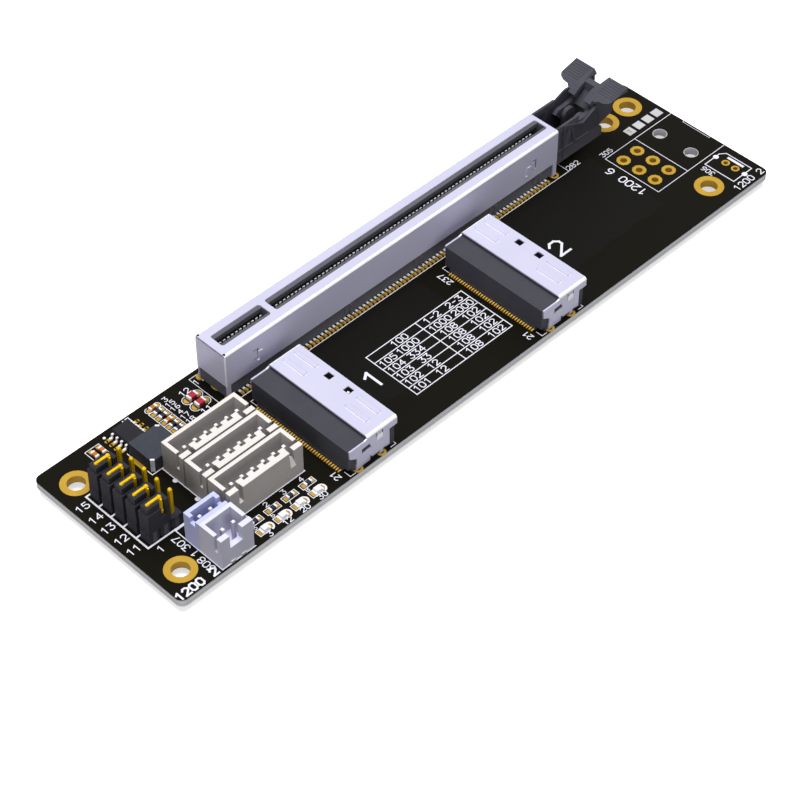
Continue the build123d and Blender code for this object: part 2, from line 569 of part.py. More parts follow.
def connector_shell(start):
    """Bent metal shell of a cable connector, with ribs, windows, side hooks and soldered legs."""
    half = CONNECTOR_LENGTH / 2
    low = BOARD_TOP
    top = low + CONNECTOR_TOP
    arm_top = low + SHELL_ARM_TOP
    back = start + CONNECTOR_DEPTH - SHELL_FRONT_DEPTH
    front = start + CONNECTOR_DEPTH
    outer = rectangle((CONNECTOR_Y - half, top - SHELL_SKIRT), (CONNECTOR_Y + half, top))
    outer = fillet(outer.vertices().group_by(Axis.Y)[-1], SHELL_BEND)
    inner = rectangle((CONNECTOR_Y - half + SHELL_SHEET, top - SHELL_SKIRT),
                      (CONNECTOR_Y + half - SHELL_SHEET, top - SHELL_SHEET))
    shell = along_x(outer - inner, back, front)
    lower_edge = [(start + x, low + z) for x, z in SHELL_LOWER_EDGE]
    side = outline((start + SHELL_ARM_REAR, arm_top), (back - SHELL_ARM_RUN, arm_top), (back, top - SHELL_BEND),
                   (front, top - SHELL_BEND), (front, low + SHELL_FRONT_BAND), *lower_edge)
    side -= outline(*[(start + x, low + z) for x, z in SHELL_SLOT])
    (hook_start, hook_low), (hook_end, hook_top) = SHELL_HOOK
    for offset in SHELL_LEG_X:
        x = start + offset
        side += rectangle((x - SHELL_LEG_WIDTH / 2, low - BOARD_THICKNESS - SHELL_LEG_REACH),
                          (x + SHELL_LEG_WIDTH / 2, low + SHELL_LEG_ROOT))
    window = rectangle((start + hook_start, low + hook_low), (start + hook_end, low + hook_top))
    tab = rectangle((start + hook_start + SHELL_HOOK_GAP, low + hook_low + SHELL_HOOK_GAP),
                    (start + hook_end - SHELL_HOOK_GAP, low + hook_top))
    for edges in ((-half, -half + SHELL_SHEET), (half - SHELL_SHEET, half)):
        shell += along_y(side, CONNECTOR_Y + edges[0], CONNECTOR_Y + edges[1])
        shell -= along_y(window - tab, CONNECTOR_Y + edges[0], CONNECTOR_Y + edges[1])
    for y in row_positions(CONNECTOR_Y + SHELL_WINDOW_SHIFT, SHELL_WINDOW_SPACING, 2):
        shell -= along_z(Pos(front - SHELL_WINDOW_FRONT, y) * Rectangle(*SHELL_WINDOW), top - SHELL_SHEET, top)
    rib = Rectangle(SHELL_RIB_WIDTH, SHELL_RIB_LENGTH)
    rib = chamfer(rib.vertices(), SHELL_RIB_CHAMFER)
    for x in (front - SHELL_RIB_FRONT, front - SHELL_RIB_FRONT - SHELL_RIB_SPACING):
        for y in row_positions(CONNECTOR_Y + SHELL_RIB_SHIFT, CONNECTOR_LENGTH - 2 * SHELL_RIB_END, 2):
            shell += along_z(Pos(x, y) * rib, top, top + SHELL_RIB_HEIGHT)
    return shell


def connector_contacts(start):
    """Rear solder tails and the two facing blade rows in the mouth."""
    front = start + CONNECTOR_DEPTH - MOUTH_INSET
    tail = rectangle((start - TAIL_REACH, BOARD_TOP), (start + TAIL_ROOM, BOARD_TOP + TAIL_SHEET))
    pieces = []
    middle = BOARD_TOP + MOUTH_Z
    places = row_positions(CONNECTOR_Y, TAIL_PITCH, TAIL_COUNT)
    for y in places:
        pieces.append(along_y(tail, y - TAIL_WIDTH / 2, y + TAIL_WIDTH / 2))
    for y in places[::BLADE_EVERY]:
        for side in (-1, 1):
            edges = sorted((middle + side * MOUTH_HEIGHT / 2, middle + side * (MOUTH_HEIGHT / 2 - BLADE_SHEET)))
            blade = rectangle((y - TAIL_WIDTH / 2, edges[0]), (y + TAIL_WIDTH / 2, edges[1]))
            pieces.append(along_x(blade, front - MOUTH_DEPTH, front - MOUTH_DEPTH + BLADE_LENGTH))
    return joined(pieces)


def square_pins(places, width, low, high):
    """Square pins with pointed tips."""
    pin = along_z(Rectangle(width, width), low, high)
    pin = chamfer(pin.faces().sort_by(Axis.Z)[-1].edges(), PIN_POINT)
    return joined([Pos(*place, 0) * pin for place in places])


def pin_holes(places, width, low, high):
    """Square holes that hold a row of pins."""
    return [along_z(Pos(*place) * Rectangle(width, width), low, high) for place in places]


def wafer_header(centre_x, centre_y, count):
    """Open-topped wire header; a long one has ribs between its pins, a two-pin one a gap in front."""
    places = wafer_pin_places(centre_x, centre_y, count)
    half_x = WAFER_PITCH * (count - 1) / 2 + WAFER_END
    left, right = centre_x - half_x, centre_x + half_x
    front = centre_y - WAFER_DEPTH / 2
    back = centre_y + WAFER_DEPTH / 2
    inside = front + WAFER_FRONT_WALL
    top = BOARD_TOP + WAFER_HEIGHT
    floor = BOARD_TOP + WAFER_FLOOR
    sill = BOARD_TOP + WAFER_SLOT_SILL
    body = along_z(rectangle((left, front), (right, back)), BOARD_TOP, top)
    cavity = rectangle((left + WAFER_WALL, inside), (right - WAFER_WALL, back - WAFER_WALL))
    gap_x = centre_x + OPEN_HEADER_GAP_SHIFT
    gaps = [rectangle((gap_x - OPEN_HEADER_GAP / 2, BOARD_TOP + OPEN_HEADER_SILL),
                      (gap_x + OPEN_HEADER_GAP / 2, top))]
    if count > 2:
        for (first, _), (second, _) in zip(places, places[1:]):
            middle = (first + second) / 2
            cavity -= rectangle((middle - WAFER_RIB / 2, inside),
                                (middle + WAFER_RIB / 2, inside + WAFER_RIB_REACH))
        slots = (places[0][0] + WAFER_SLOT_SHIFT, places[-1][0] - WAFER_SLOT_SHIFT)
        gaps = [rectangle((x - WAFER_SLOT / 2, sill), (x + WAFER_SLOT / 2, top)) for x in slots]
    body -= along_z(cavity, floor, top)
    for gap in gaps:
        body -= along_y(gap, front, inside)
    notch = rectangle((inside, sill), (inside + WAFER_CORNER_SLOT, top))
    for edges in ((left, left + WAFER_WALL), (right - WAFER_WALL, right)):
        body -= along_x(notch, *edges)
    return body - pin_holes(places, WAFER_PIN, BOARD_TOP, floor)


def small_header():
    """Narrow two-pin header with a notch in each end wall."""
    half_x = SMALL_HEADER_LENGTH / 2
    front = SMALL_HEADER_Y - SMALL_HEADER_DEPTH / 2
    back = SMALL_HEADER_Y + SMALL_HEADER_DEPTH / 2
    top = BOARD_TOP + WAFER_HEIGHT
    floor = BOARD_TOP + WAFER_FLOOR
    body = along_z(rectangle((SMALL_HEADER_X - half_x, front), (SMALL_HEADER_X + half_x, back)), BOARD_TOP, top)
    cavity = rectangle((SMALL_HEADER_X - half_x + WAFER_WALL, front + WAFER_WALL),
                       (SMALL_HEADER_X + half_x - WAFER_WALL, back - WAFER_WALL))
    body -= along_z(cavity, floor, top)
    notch = rectangle((front + WAFER_WALL, top - SMALL_HEADER_NOTCH), (back - SMALL_HEADER_NOTCH_Y, top))
    body -= along_x(notch, SMALL_HEADER_X - half_x, SMALL_HEADER_X + half_x)
    return body - pin_holes(SMALL_HEADER_PINS, WAFER_PIN, BOARD_TOP, floor)


def jumper_base(y):
    """Pin header block, with a notch between neighbouring pins."""
    half_x = JUMPER_PITCH * JUMPER_PINS / 2
    half_y = JUMPER_WIDTH / 2
    block = rectangle((JUMPER_X - half_x, y - half_y), (JUMPER_X + half_x, y + half_y))
    for x in row_positions(JUMPER_X, JUMPER_PITCH, JUMPER_PINS - 1):
        for side in (-1, 1):
            edge = y + side * half_y
            tip = edge - side * JUMPER_CHAMFER
            block -= outline((x - JUMPER_CHAMFER, edge), (x, tip), (x + JUMPER_CHAMFER, edge))
    top = BOARD_TOP + JUMPER_BASE
    base = along_z(block, BOARD_TOP, top)
    return base - pin_holes([(x, y) for x in JUMPER_PIN_X], JUMPER_PIN, BOARD_TOP, top)


def cap_centre_x():
    """Middle of the two pins that a jumper cap joins."""
    return (JUMPER_PIN_X[0] + JUMPER_PIN_X[1]) / 2


def jumper_cap(y):
    """Stepped jumper cap, open from below and above, with a window in its near wall."""
    x = cap_centre_x()
    low = BOARD_TOP + JUMPER_BASE
    top = low + CAP_HEIGHT
    body = along_z(Pos(x, y) * Rectangle(CAP_LENGTH, CAP_WIDTH), low, top - CAP_STEP_DROP)
    length, width = CAP_LENGTH - 2 * CAP_STEP, CAP_WIDTH - 2 * CAP_STEP
    body += along_z(Pos(x, y) * Rectangle(length, width), top - CAP_STEP_DROP, top)
    body -= along_z(Pos(x, y) * Rectangle(length - 2 * CAP_WALL, width - 2 * CAP_SIDE_WALL), low, top)
    pin = JUMPER_PIN_X[1]
    window = rectangle((pin - CAP_WINDOW_WIDTH / 2, top - CAP_WINDOW_DEPTH), (pin + CAP_WINDOW_WIDTH / 2, top))
    body -= along_y(window, y - CAP_WIDTH / 2, y)
    return body


def jumper_clip(y):
    """Folded spring that joins two pins inside a cap."""
    inner = JUMPER_PIN / 2
    low = BOARD_TOP + JUMPER_BASE
    bottom = low + CLIP_BOTTOM
    top = low + CLIP_TOP
    reach = JUMPER_PITCH / 2 + inner
    x = cap_centre_x()
    legs = rectangle((y - inner - CLIP_SHEET, bottom), (y - inner, top))
    legs += rectangle((y + inner, bottom), (y + inner + CLIP_SHEET, top))
    clip = along_x(legs, x - reach, x + reach)
    bridge = rectangle((y - inner - CLIP_SHEET, top - CLIP_SHEET), (y + inner + CLIP_SHEET, top))
    return clip + along_x(bridge, x - CLIP_BRIDGE / 2, x + CLIP_BRIDGE / 2)


def regulator_body():
    """Small-outline package with drafted sides."""
    length, width, height = REGULATOR_SIZE
    low = BOARD_TOP + REGULATOR_STANDOFF
    middle = low + height / 2
    wide = Pos(REGULATOR_X, REGULATOR_Y, middle) * Rectangle(length, width)
    narrow = Rectangle(length - 2 * REGULATOR_DRAFT, width - 2 * REGULATOR_DRAFT)
    upper = loft([wide, Pos(REGULATOR_X, REGULATOR_Y, low + height) * narrow])
    lower = loft([Pos(REGULATOR_X, REGULATOR_Y, low) * narrow, wide])
    return upper + lower


def regulator_leads():
    """Gull-wing leads on the two long sides of the package."""
    half = REGULATOR_SIZE[0] / 2
    tip = half + REGULATOR_LEAD_REACH
    bend = tip - REGULATOR_LEAD_FOOT
    sheet = REGULATOR_LEAD_SHEET
    shoulder = BOARD_TOP + REGULATOR_STANDOFF + REGULATOR_SIZE[2] / 2 + sheet / 2
    path = ((half, shoulder - sheet), (bend - sheet, shoulder - sheet), (bend - sheet, BOARD_TOP),
            (tip, BOARD_TOP), (tip, BOARD_TOP + sheet), (bend, BOARD_TOP + sheet), (bend, shoulder),
            (half, shoulder))
    pieces = []
    for y in row_positions(REGULATOR_Y, REGULATOR_LEAD_PITCH, 4):
        for side in (-1, 1):
            lead = outline(*[(REGULATOR_X + side * x, z) for x, z in path])
            pieces.append(along_y(lead, y - REGULATOR_LEAD_WIDTH / 2, y + REGULATOR_LEAD_WIDTH / 2))
    return joined(pieces)


def inductor_body():
    """Moulded power inductor with two opposite corners cut."""
    length, width, height = INDUCTOR_SIZE
    face = Pos(INDUCTOR_X, INDUCTOR_Y) * Rectangle(length, width)
    corners = [face.vertices().sort_by(lambda corner: corner.X + corner.Y)[index] for index in (0, -1)]
    body = along_z(chamfer(corners, INDUCTOR_CORNER), BOARD_TOP, BOARD_TOP + height)
    return body - inductor_terminals()


def inductor_terminals():
    """Upright terminal strips let into the two cut corners of the inductor."""
    length, width, height = INDUCTOR_SIZE
    strip = Rot(0, 0, 45) * Rectangle(INDUCTOR_TERMINAL_SHEET, INDUCTOR_TERMINAL_WIDTH)
    reach_x, reach_y = (length - INDUCTOR_CORNER) / 2, (width - INDUCTOR_CORNER) / 2
    places = [(INDUCTOR_X + side * reach_x, INDUCTOR_Y + side * reach_y) for side in (-1, 1)]
    return joined([along_z(Pos(*place) * strip, BOARD_TOP, BOARD_TOP + height) for place in places])


def chip_bodies(places, size, turned):
    """Ceramic middles of chip parts, lying along X or, turned, along Y."""
    length = size[0] - 2 * CHIP_END
    shape = (size[1], length) if turned else (length, size[1])
    return [along_z(Pos(*place) * Rectangle(*shape), BOARD_TOP, BOARD_TOP + size[2]) for place in places]


def chip_ends(places, size, turned):
    """Soldered end caps of chip parts."""
    reach = (size[0] - CHIP_END) / 2
    shape = (size[1], CHIP_END) if turned else (CHIP_END, size[1])
    ends = []
    for x, y in places:
        for side in (-1, 1):
            place = (x, y + side * reach) if turned else (x + side * reach, y)
            ends.append(along_z(Pos(*place) * Rectangle(*shape), BOARD_TOP, BOARD_TOP + size[2]))
    return ends


def indicator_lamps():
    """Lamps: a flat base that carries a smaller clear lens."""
    length, width, height = LAMP_SIZE
    lamps = []
    for x in LAMP_X:
        block = Rectangle(length - 2 * CHIP_END, width)
        base = along_z(Pos(x, LAMP_Y) * block, BOARD_TOP, BOARD_TOP + LAMP_BASE)
        lens = Pos(x, LAMP_Y, BOARD_TOP + LAMP_BASE) * block
        lamps.append(base + extrude(lens, height - LAMP_BASE, taper=LAMP_TAPER))
    return joined(lamps)


def build_nodes():
    """Every named piece of the board."""
    column = [(CHIP_COLUMN_X, y) for y in CHIP_COLUMN_Y]
    capacitors = [place for index, place in enumerate(column) if index in CHIP_CAPACITOR_ROWS]
    resistors = [place for index, place in enumerate(column) if index not in CHIP_CAPACITOR_ROWS]
    lamp_resistors = [(x, LAMP_RESISTOR_Y) for x in LAMP_X]
    lamps = [(x, LAMP_Y) for x in LAMP_X]
    lamp_end = (LAMP_SIZE[0], LAMP_SIZE[1], LAMP_BASE)
    ends = chip_ends(column + lamp_resistors, SMALL_CHIP, False) + chip_ends(LEFT_CHIPS, SMALL_CHIP, True)
    ends += chip_ends(COUPLING_CHIPS, LARGE_CHIP, False) + chip_ends(lamps, lamp_end, False)
    spare = [plated_hole(place, SOCKET_HOLE_R, SOCKET_PAD_R, LAND_SIDES) for place in SOCKET_HOLES]
    spare += [plated_hole(place, PAIR_HOLE_R, PAIR_PAD_R, LAND_SIDES) for place in PAIR_HOLES]
    nodes = {
        "circuit_board": circuit_board(),
        "mounting_hole_plating": joined([plated_hole(place, MOUNT_HOLE_R, MOUNT_PAD_R, MOUNT_SIDES)
                                         for place in MOUNT_HOLES]),
        "spare_socket_lands": joined(spare),
        "slot_shield": slot_shield(),
        "slot_housing": slot_housing(),
        "slot_contacts_near": slot_contact_row(-1),
        "slot_contacts_far": slot_contact_row(1),
        "latch_bracket": latch_bracket(),
        "slot_latch": slot_latch(),
        "open_header_housing": wafer_header(OPEN_HEADER_X, OPEN_HEADER_Y, 2),
        "open_header_pins": header_pins(OPEN_HEADER_PINS, WAFER_PIN_DROP),
        "small_header_housing": small_header(),
        "small_header_pins": header_pins(SMALL_HEADER_PINS, SMALL_HEADER_PIN_DROP),
        "jumper_pins": square_pins(JUMPER_HOLES, JUMPER_PIN, BOARD_TOP - JUMPER_PIN_TAIL,
                                   BOARD_TOP + JUMPER_PIN_TOP),
        "jumper_clips": joined([jumper_clip(y) for y in JUMPER_ROW_Y]),
        "regulator_body": regulator_body(),
        "regulator_leads": regulator_leads(),
        "inductor_body": inductor_body(),
        "inductor_terminals": inductor_terminals(),
        "chip_capacitors": joined(chip_bodies(capacitors, SMALL_CHIP, False)
                                  + chip_bodies(LEFT_CHIPS, SMALL_CHIP, True)),
        "chip_resistors": joined(chip_bodies(resistors, SMALL_CHIP, False)),
        "coupling_capacitors": joined(chip_bodies(COUPLING_CHIPS, LARGE_CHIP, False)),
        "lamp_resistors": joined(chip_bodies(lamp_resistors, SMALL_CHIP, False)),
        "indicator_lamps": indicator_lamps(),
        "chip_end_caps": joined(ends),
    }
    for number, start in enumerate(CONNECTOR_X, 1):
        nodes[f"cable_connector_{number}_housing"] = connector_housing(start)
        nodes[f"cable_connector_{number}_shell"] = connector_shell(start)
        nodes[f"cable_connector_{number}_contacts"] = connector_contacts(start)
    for number, y in enumerate(WAFER_ROW_Y, 1):
        nodes[f"wafer_header_{number}_housing"] = wafer_header(WAFER_ROW_X, y, WAFER_ROW_PINS)
        nodes[f"wafer_header_{number}_pins"] = header_pins(WAFER_PINS[number - 1], WAFER_PIN_DROP)
    for number, y in enumerate(JUMPER_ROW_Y, 1):
        nodes[f"jumper_base_{number}"] = jumper_base(y)
        nodes[f"jumper_cap_{number}"] = jumper_cap(y)
    return nodes


def header_pins(places, drop):
    """Pins of a wire header, their tips a little below its rim."""
    high = BOARD_TOP + WAFER_HEIGHT - drop
    return square_pins(places, WAFER_PIN, BOARD_TOP - WAFER_PIN_TAIL, high)


os.makedirs("parts", exist_ok=True)
for name, shape in build_nodes().items():
    export_step(shape, f"parts/{name}.step")
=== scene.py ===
"""Looks of a riser board: one long card slot, two cable connectors, wire headers and jumpers.

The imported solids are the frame. This file gives each of them its finish and adds what lies
on them: printed lines, gold lands, solder, grips and other small trim. Sizes and places are
millimetres in the frame of the part, and the meshes are metres.
"""

import json
import logging
import math
from dataclasses import dataclass
from enum import Enum
from functools import partial
from typing import Callable, Optional, Sequence, Union

import bmesh
import bpy
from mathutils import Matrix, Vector

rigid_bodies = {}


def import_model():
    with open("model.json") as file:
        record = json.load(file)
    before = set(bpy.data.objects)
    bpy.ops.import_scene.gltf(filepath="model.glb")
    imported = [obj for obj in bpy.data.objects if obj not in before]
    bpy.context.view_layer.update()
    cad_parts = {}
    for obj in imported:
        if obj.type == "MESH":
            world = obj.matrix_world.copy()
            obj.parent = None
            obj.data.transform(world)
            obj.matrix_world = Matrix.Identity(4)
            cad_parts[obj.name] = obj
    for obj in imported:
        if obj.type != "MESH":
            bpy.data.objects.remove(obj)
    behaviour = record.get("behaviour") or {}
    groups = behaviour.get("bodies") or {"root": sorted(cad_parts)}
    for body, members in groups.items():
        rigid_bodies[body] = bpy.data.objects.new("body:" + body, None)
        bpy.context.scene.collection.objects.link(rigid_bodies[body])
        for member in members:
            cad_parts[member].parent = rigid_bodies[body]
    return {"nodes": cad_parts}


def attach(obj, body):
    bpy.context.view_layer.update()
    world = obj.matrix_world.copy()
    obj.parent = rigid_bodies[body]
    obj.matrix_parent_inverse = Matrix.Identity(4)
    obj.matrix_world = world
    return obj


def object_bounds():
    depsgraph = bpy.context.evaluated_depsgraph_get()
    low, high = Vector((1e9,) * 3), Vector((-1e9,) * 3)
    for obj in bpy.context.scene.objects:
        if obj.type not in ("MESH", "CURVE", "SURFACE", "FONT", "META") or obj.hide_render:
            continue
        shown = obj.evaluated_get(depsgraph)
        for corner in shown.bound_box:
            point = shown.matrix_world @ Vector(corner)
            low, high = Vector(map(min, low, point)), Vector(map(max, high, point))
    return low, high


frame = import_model()
CAD_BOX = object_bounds()

MM = 0.001
# The board's upper face, and the underside of what lies on it, a hair inside the board.
BOARD_TOP = 1.6
INLAID = BOARD_TOP - 0.01
# The rear faces of the two cable connectors.
CONNECTOR_STARTS = (-34.9, 15.7)
LOG = logging.getLogger("riser_board")
Place = tuple[float, float]
Colour = tuple[int, int, int]


def linear(colour: Colour) -> tuple[float, float, float, float]:
    """Turn a display colour into linear light.

    Args:
        colour: Red, green and blue from 0 to 255.

    Returns:
        The same colour for a shader socket, with full alpha.
    """
    parts = [part / 255 for part in colour]
    levels = [part / 12.92 if part <= 0.04045 else ((part + 0.055) / 1.055) ** 2.4 for part in parts]
    return (*levels, 1.0)


def positions(first: float, pitch: float, count: int) -> list[float]:
    """Evenly spaced positions that start at the first."""
    return [first + pitch * index for index in range(count)]


def operator(operation: str, swapped: bool = False) -> Callable:
    """Make an operator method for signals.

    Args:
        operation: The Math node's operation.
        swapped: Whether the signal stands on the right.

    Returns:
        A method that adds the Math node and gives its signal.
    """
    def apply(signal: "Signal", other: "Value") -> "Signal":
        """Combine the signal with another value."""
        left, right = (other, signal) if swapped else (signal, other)
        return signal.shader.node("ShaderNodeMath", {"operation": operation}, {0: left, 1: right})
    return apply


class Signal:
    """A shader value that plain Python expressions can combine."""

    def __init__(self, shader: "Shader", socket: bpy.types.NodeSocket) -> None:
        """Keep the tree and the output socket."""
        self.shader = shader
        self.socket = socket

    __add__ = __radd__ = operator("ADD")
    __sub__ = operator("SUBTRACT")
    __rsub__ = operator("SUBTRACT", swapped=True)
    __mul__ = operator("MULTIPLY")
    __gt__ = operator("GREATER_THAN")
    __lt__ = operator("LESS_THAN")
    _sine = operator("SINE")

    def wave(self) -> "Signal":
        """Sine of this value."""
        return self._sine(0.0)

    def clamped(self) -> "Signal":
        """This value, kept between nought and one."""
        return self.shader.node("ShaderNodeClamp", {}, {"Value": self})


Value = Union[Signal, float, tuple]


class Shader:
    """One material and the nodes that are added to it."""

    def __init__(self, name: str) -> None:
        """Start a material with a Principled surface.

        Args:
            name: The material's name.
        """
        self.material = bpy.data.materials.new(name)
        self.material.use_nodes = True
        self.tree = self.material.node_tree
        self.tree.nodes.clear()
        self.surface = self.tree.nodes.new("ShaderNodeBsdfPrincipled")
        output = self.tree.nodes.new("ShaderNodeOutputMaterial")
        self.tree.links.new(self.surface.outputs[0], output.inputs["Surface"])
        place = self.node("ShaderNodeTexCoord", {}, {}, "Object")
        self.place = self.node("ShaderNodeVectorMath", {"operation": "SCALE"}, {0: place, "Scale": 1 / MM})

    def node(self, kind: str, settings: dict, values: dict, output: Union[int, str] = 0) -> Signal:
        """Add one node.

        Args:
            kind: The node's type name.
            settings: Its settings.
            values: A value or signal for each socket, by name or number.
            output: The socket to read.

        Returns:
            The node's output as a signal.
        """
        made = self.tree.nodes.new(kind)
        for name, setting in settings.items():
            setattr(made, name, setting)
        for socket, value in values.items():
            self.feed(made.inputs[socket], value)
        return Signal(self, made.outputs[output])

    def feed(self, socket: bpy.types.NodeSocket, value: Value) -> None:
        """Link a signal to a socket, or set its value."""
        if isinstance(value, Signal):
            self.tree.links.new(value.socket, socket)
        else:
            socket.default_value = value

    def noise(self, size: float, detail: float = 2.0, stretch: tuple = (1.0, 1.0, 1.0)) -> Signal:
        """Cloudy noise from nought to one.

        Args:
            size: The size of a patch, in millimetres.
            detail: How many finer layers it has.
            stretch: How far it is drawn out along each axis.

        Returns:
            The noise value.
        """
        scale = tuple(1 / (size * part) for part in stretch)
        vector = self.node("ShaderNodeVectorMath", {"operation": "MULTIPLY"}, {0: self.place, 1: scale})
        return self.node("ShaderNodeTexNoise", {}, {"Vector": vector, "Scale": 1.0, "Detail": detail})

    def split(self, vector: Signal) -> tuple[Signal, Signal, Signal]:
        """The three parts of a vector."""
        made = self.tree.nodes.new("ShaderNodeSeparateXYZ")
        self.feed(made.inputs[0], vector)
        return tuple(Signal(self, socket) for socket in made.outputs)

    def axes(self) -> tuple[Signal, Signal, Signal]:
        """The three coordinates, in millimetres."""
        return self.split(self.place)

    def normal(self) -> tuple[Signal, Signal, Signal]:
        """The three parts of the surface's own direction."""
        return self.split(self.node("ShaderNodeTexCoord", {}, {}, "Normal"))

    def blend(self, factor: Value, first: Value, second: Value) -> Signal:
        """Mix two colours.

        Args:
            factor: Nought for the first colour and one for the second.
            first: A colour or a signal.
            second: A colour or a signal.

        Returns:
            The mixed colour.
        """
        made = self.tree.nodes.new("ShaderNodeMix")
        made.data_type = "RGBA"
        self.feed(made.inputs["Factor"], factor)
        self.feed(made.inputs[6], first)
        self.feed(made.inputs[7], second)
        return Signal(self, made.outputs[2])

    def bump(self, height: Signal, depth: float) -> None:
        """Raise the surface by a height from nought to one, to a depth in millimetres."""
        settings = {"Height": height, "Distance": depth * MM, "Strength": 1.0}
        self.feed(self.surface.inputs["Normal"], self.node("ShaderNodeBump", {}, settings))

    def set(self, **values: Value) -> None:
        """Set the surface's sockets, named with underscores for spaces."""
        for name, value in values.items():
            self.feed(self.surface.inputs[name.replace("_", " ")], value)


class Texture(Enum):
    """The kinds of fine surface on the board's parts."""

    MOULDED = "spark-eroded moulding"
    ROLLED = "rolled and folded sheet"
    PLATED = "plated metal"
    FIRED = "fired ceramic"
    INK = "printed ink"


@dataclass(frozen=True)
class Finish:
    """A surface finish: two colours that mottle, its sheen and its fine texture.

    The sides of some mouldings carry painted shade, darker than their rims; the tips of some pins carry a
    painted highlight, and so do the bends of folded sheet.
    """

    name: str
    colour: Colour
    shade: Colour
    texture: Texture
    metallic: float = 0.0
    roughness: float = 0.5
    spread: float = 0.12
    grain: float = 0.12
    depth: float = 0.004
    mottle: float = 3.0
    coat: float = 0.0
    sheen: float = 0.08
    # Painted shade on faces that don't point up: the share of their colour kept, the rest mixed towards
    # black.
    side: float = 1.0
    # Painted highlight: whether faces that point up turn near-white.
    crown: bool = False
    contrast: float = 1.6
    speck: float = 0.3
    bend_highlight_limit: float = 0.02
    top_limit: float = 0.3
    # Painted highlight colour for the bends of folded sheet.
    light: Colour = (254, 254, 255)
    # The near-white of that painted highlight.
    crown_light: Colour = (254, 254, 254)
    # The colour that the painted side shade darkens towards.
    black: Colour = (0, 0, 0)

    def grain_height(self, shader: Shader) -> Signal:
        """The fine relief of the texture."""
        if self.texture is Texture.ROLLED:
            streaks = shader.noise(self.grain, 3.0, (14.0, 1.0, 1.0))
            return streaks * 0.6 + shader.noise(self.grain * 9, 1.0) * 0.4
        if self.texture is Texture.INK:
            x, y, _ = shader.axes()
            weave = (x * (math.tau / self.grain)).wave() * (y * (math.tau / self.grain)).wave()
            return weave * 0.25 + shader.noise(self.grain * 2, 2.0)
        return shader.noise(self.grain, 3.0 if self.texture is Texture.FIRED else 2.0)

    def build(self) -> bpy.types.Material:
        """Make the material.

        Returns:
            The finished material.
        """
        shader = Shader(self.name)
        cloud = shader.noise(self.mottle, 2.0)
        height = self.grain_height(shader)
        patch = (cloud * self.contrast - (self.contrast - 1) / 2).clamped()
        speck = (height - 0.5) * self.speck
        colour = shader.blend((patch + speck).clamped(), linear(self.shade), linear(self.colour))
        # Painted highlight: near-white on the rounded bends between the top and the sides of folded sheet.
        if self.texture is Texture.ROLLED:
            across, along, up = (part * part for part in shader.normal())
            bend_highlight = ((up * (across + along)) > self.bend_highlight_limit).clamped()
            colour = shader.blend(bend_highlight, colour, linear(self.light))
        upward = shader.normal()[2] > self.top_limit
        # Painted shade: faces that don't point up are darkened towards black.
        if self.side < 1.0:
            side_shaded = shader.blend(1.0 - self.side, colour, linear(self.black))
            colour = shader.blend(upward, side_shaded, colour)
        # Painted highlight: faces that point up turn near-white.
        if self.crown:
            colour = shader.blend(upward, colour, linear(self.crown_light))
        rough = (self.roughness - self.spread / 2) + (cloud * 0.5 + height * 0.5) * self.spread
        shader.set(Base_Color=colour, Roughness=rough, Metallic=self.metallic, Coat_Weight=self.coat)
        shader.set(Specular_IOR_Level=self.sheen)
        shader.bump(height, self.depth)
        return shader.material


@dataclass(frozen=True)
class BoardFinish:
    """Glossy solder mask on both faces, over copper that shows as faint relief, and bare laminate edges."""

    name: str = "solder_mask"
    over_copper: Colour = (12, 9, 2)
    over_glass: Colour = (16, 16, 14)
    laminate: Colour = (254, 254, 255)
    core_line: Colour = (214, 214, 222)
    thickness: float = BOARD_TOP
    sheen: float = 0.06
    trace_pitch: float = 0.55
    trace_depth: float = 0.02
    bundle_low: Place = (-22.0, -9.5)
    bundle_high: Place = (9.5, 8.8)
    bundle_step: float = 50.6

    def bundle(self, shader: Shader, x: Signal, y: Signal, shift: float) -> Signal:
        """One where the traces between the slot and a connector run."""
        inside = (x > self.bundle_low[0] + shift) * (x < self.bundle_high[0] + shift)
        edge = shader.noise(6.0, 0.0) * 3.0
        return inside * (y + edge > self.bundle_low[1]) * (y < self.bundle_high[1])

    def build(self) -> bpy.types.Material:
        """Make the material.

        Returns:
            The finished material.
        """
        shader = Shader(self.name)
        x, y, z = shader.axes()
        _, _, up = shader.normal()
        face = (up * up) > 0.5
        bundle = self.bundle(shader, x, y, 0.0) + self.bundle(shader, x, y, self.bundle_step)
        trace = (x * (math.tau / self.trace_pitch)).wave() * 0.5 + 0.5
        cloud = shader.noise(9.0, 2.0)
        copper, glass = linear(self.over_copper), linear(self.over_glass)
        mask = shader.blend((bundle * (trace * 0.5 + 0.5)).clamped(), copper, glass)
        mask = shader.blend(cloud * 0.25, mask, glass)
        layers = (z * (math.tau / self.thickness * 2)).wave() * 0.5 + 0.5
        fibre = shader.noise(0.12, 2.0, (8.0, 8.0, 1.0))
        banding = (layers * 0.8 + fibre * 0.4 - 0.1).clamped()
        edge = shader.blend(banding, linear(self.core_line), linear(self.laminate))
        shader.set(Base_Color=shader.blend(face, edge, mask), Specular_IOR_Level=self.sheen)
        shader.set(Roughness=0.7 - face * 0.15 + shader.noise(0.8, 2.0) * 0.08)
        relief = bundle * trace * 0.7 + shader.noise(0.6, 2.0) * 0.15 + (1 - face) * fibre
        shader.bump(relief, self.trace_depth)
        return shader.material


# One maker for each kind of surface; a finish below gives its two colours and what else differs.
plated = partial(Finish, texture=Texture.PLATED, metallic=0.1, roughness=0.4, grain=0.14, depth=0.003)
gold = partial(plated, metallic=0.2, grain=0.1)
rolled = partial(Finish, texture=Texture.ROLLED, metallic=0.1, roughness=0.4, spread=0.1, grain=0.16,
                 depth=0.002)
moulded = partial(Finish, texture=Texture.MOULDED, roughness=0.6)
fine_moulded = partial(moulded, spread=0.14, grain=0.1, depth=0.005)
coarse_moulded = partial(moulded, spread=0.16, grain=0.14, depth=0.008)
fired = partial(Finish, texture=Texture.FIRED, grain=0.08, mottle=0.5)

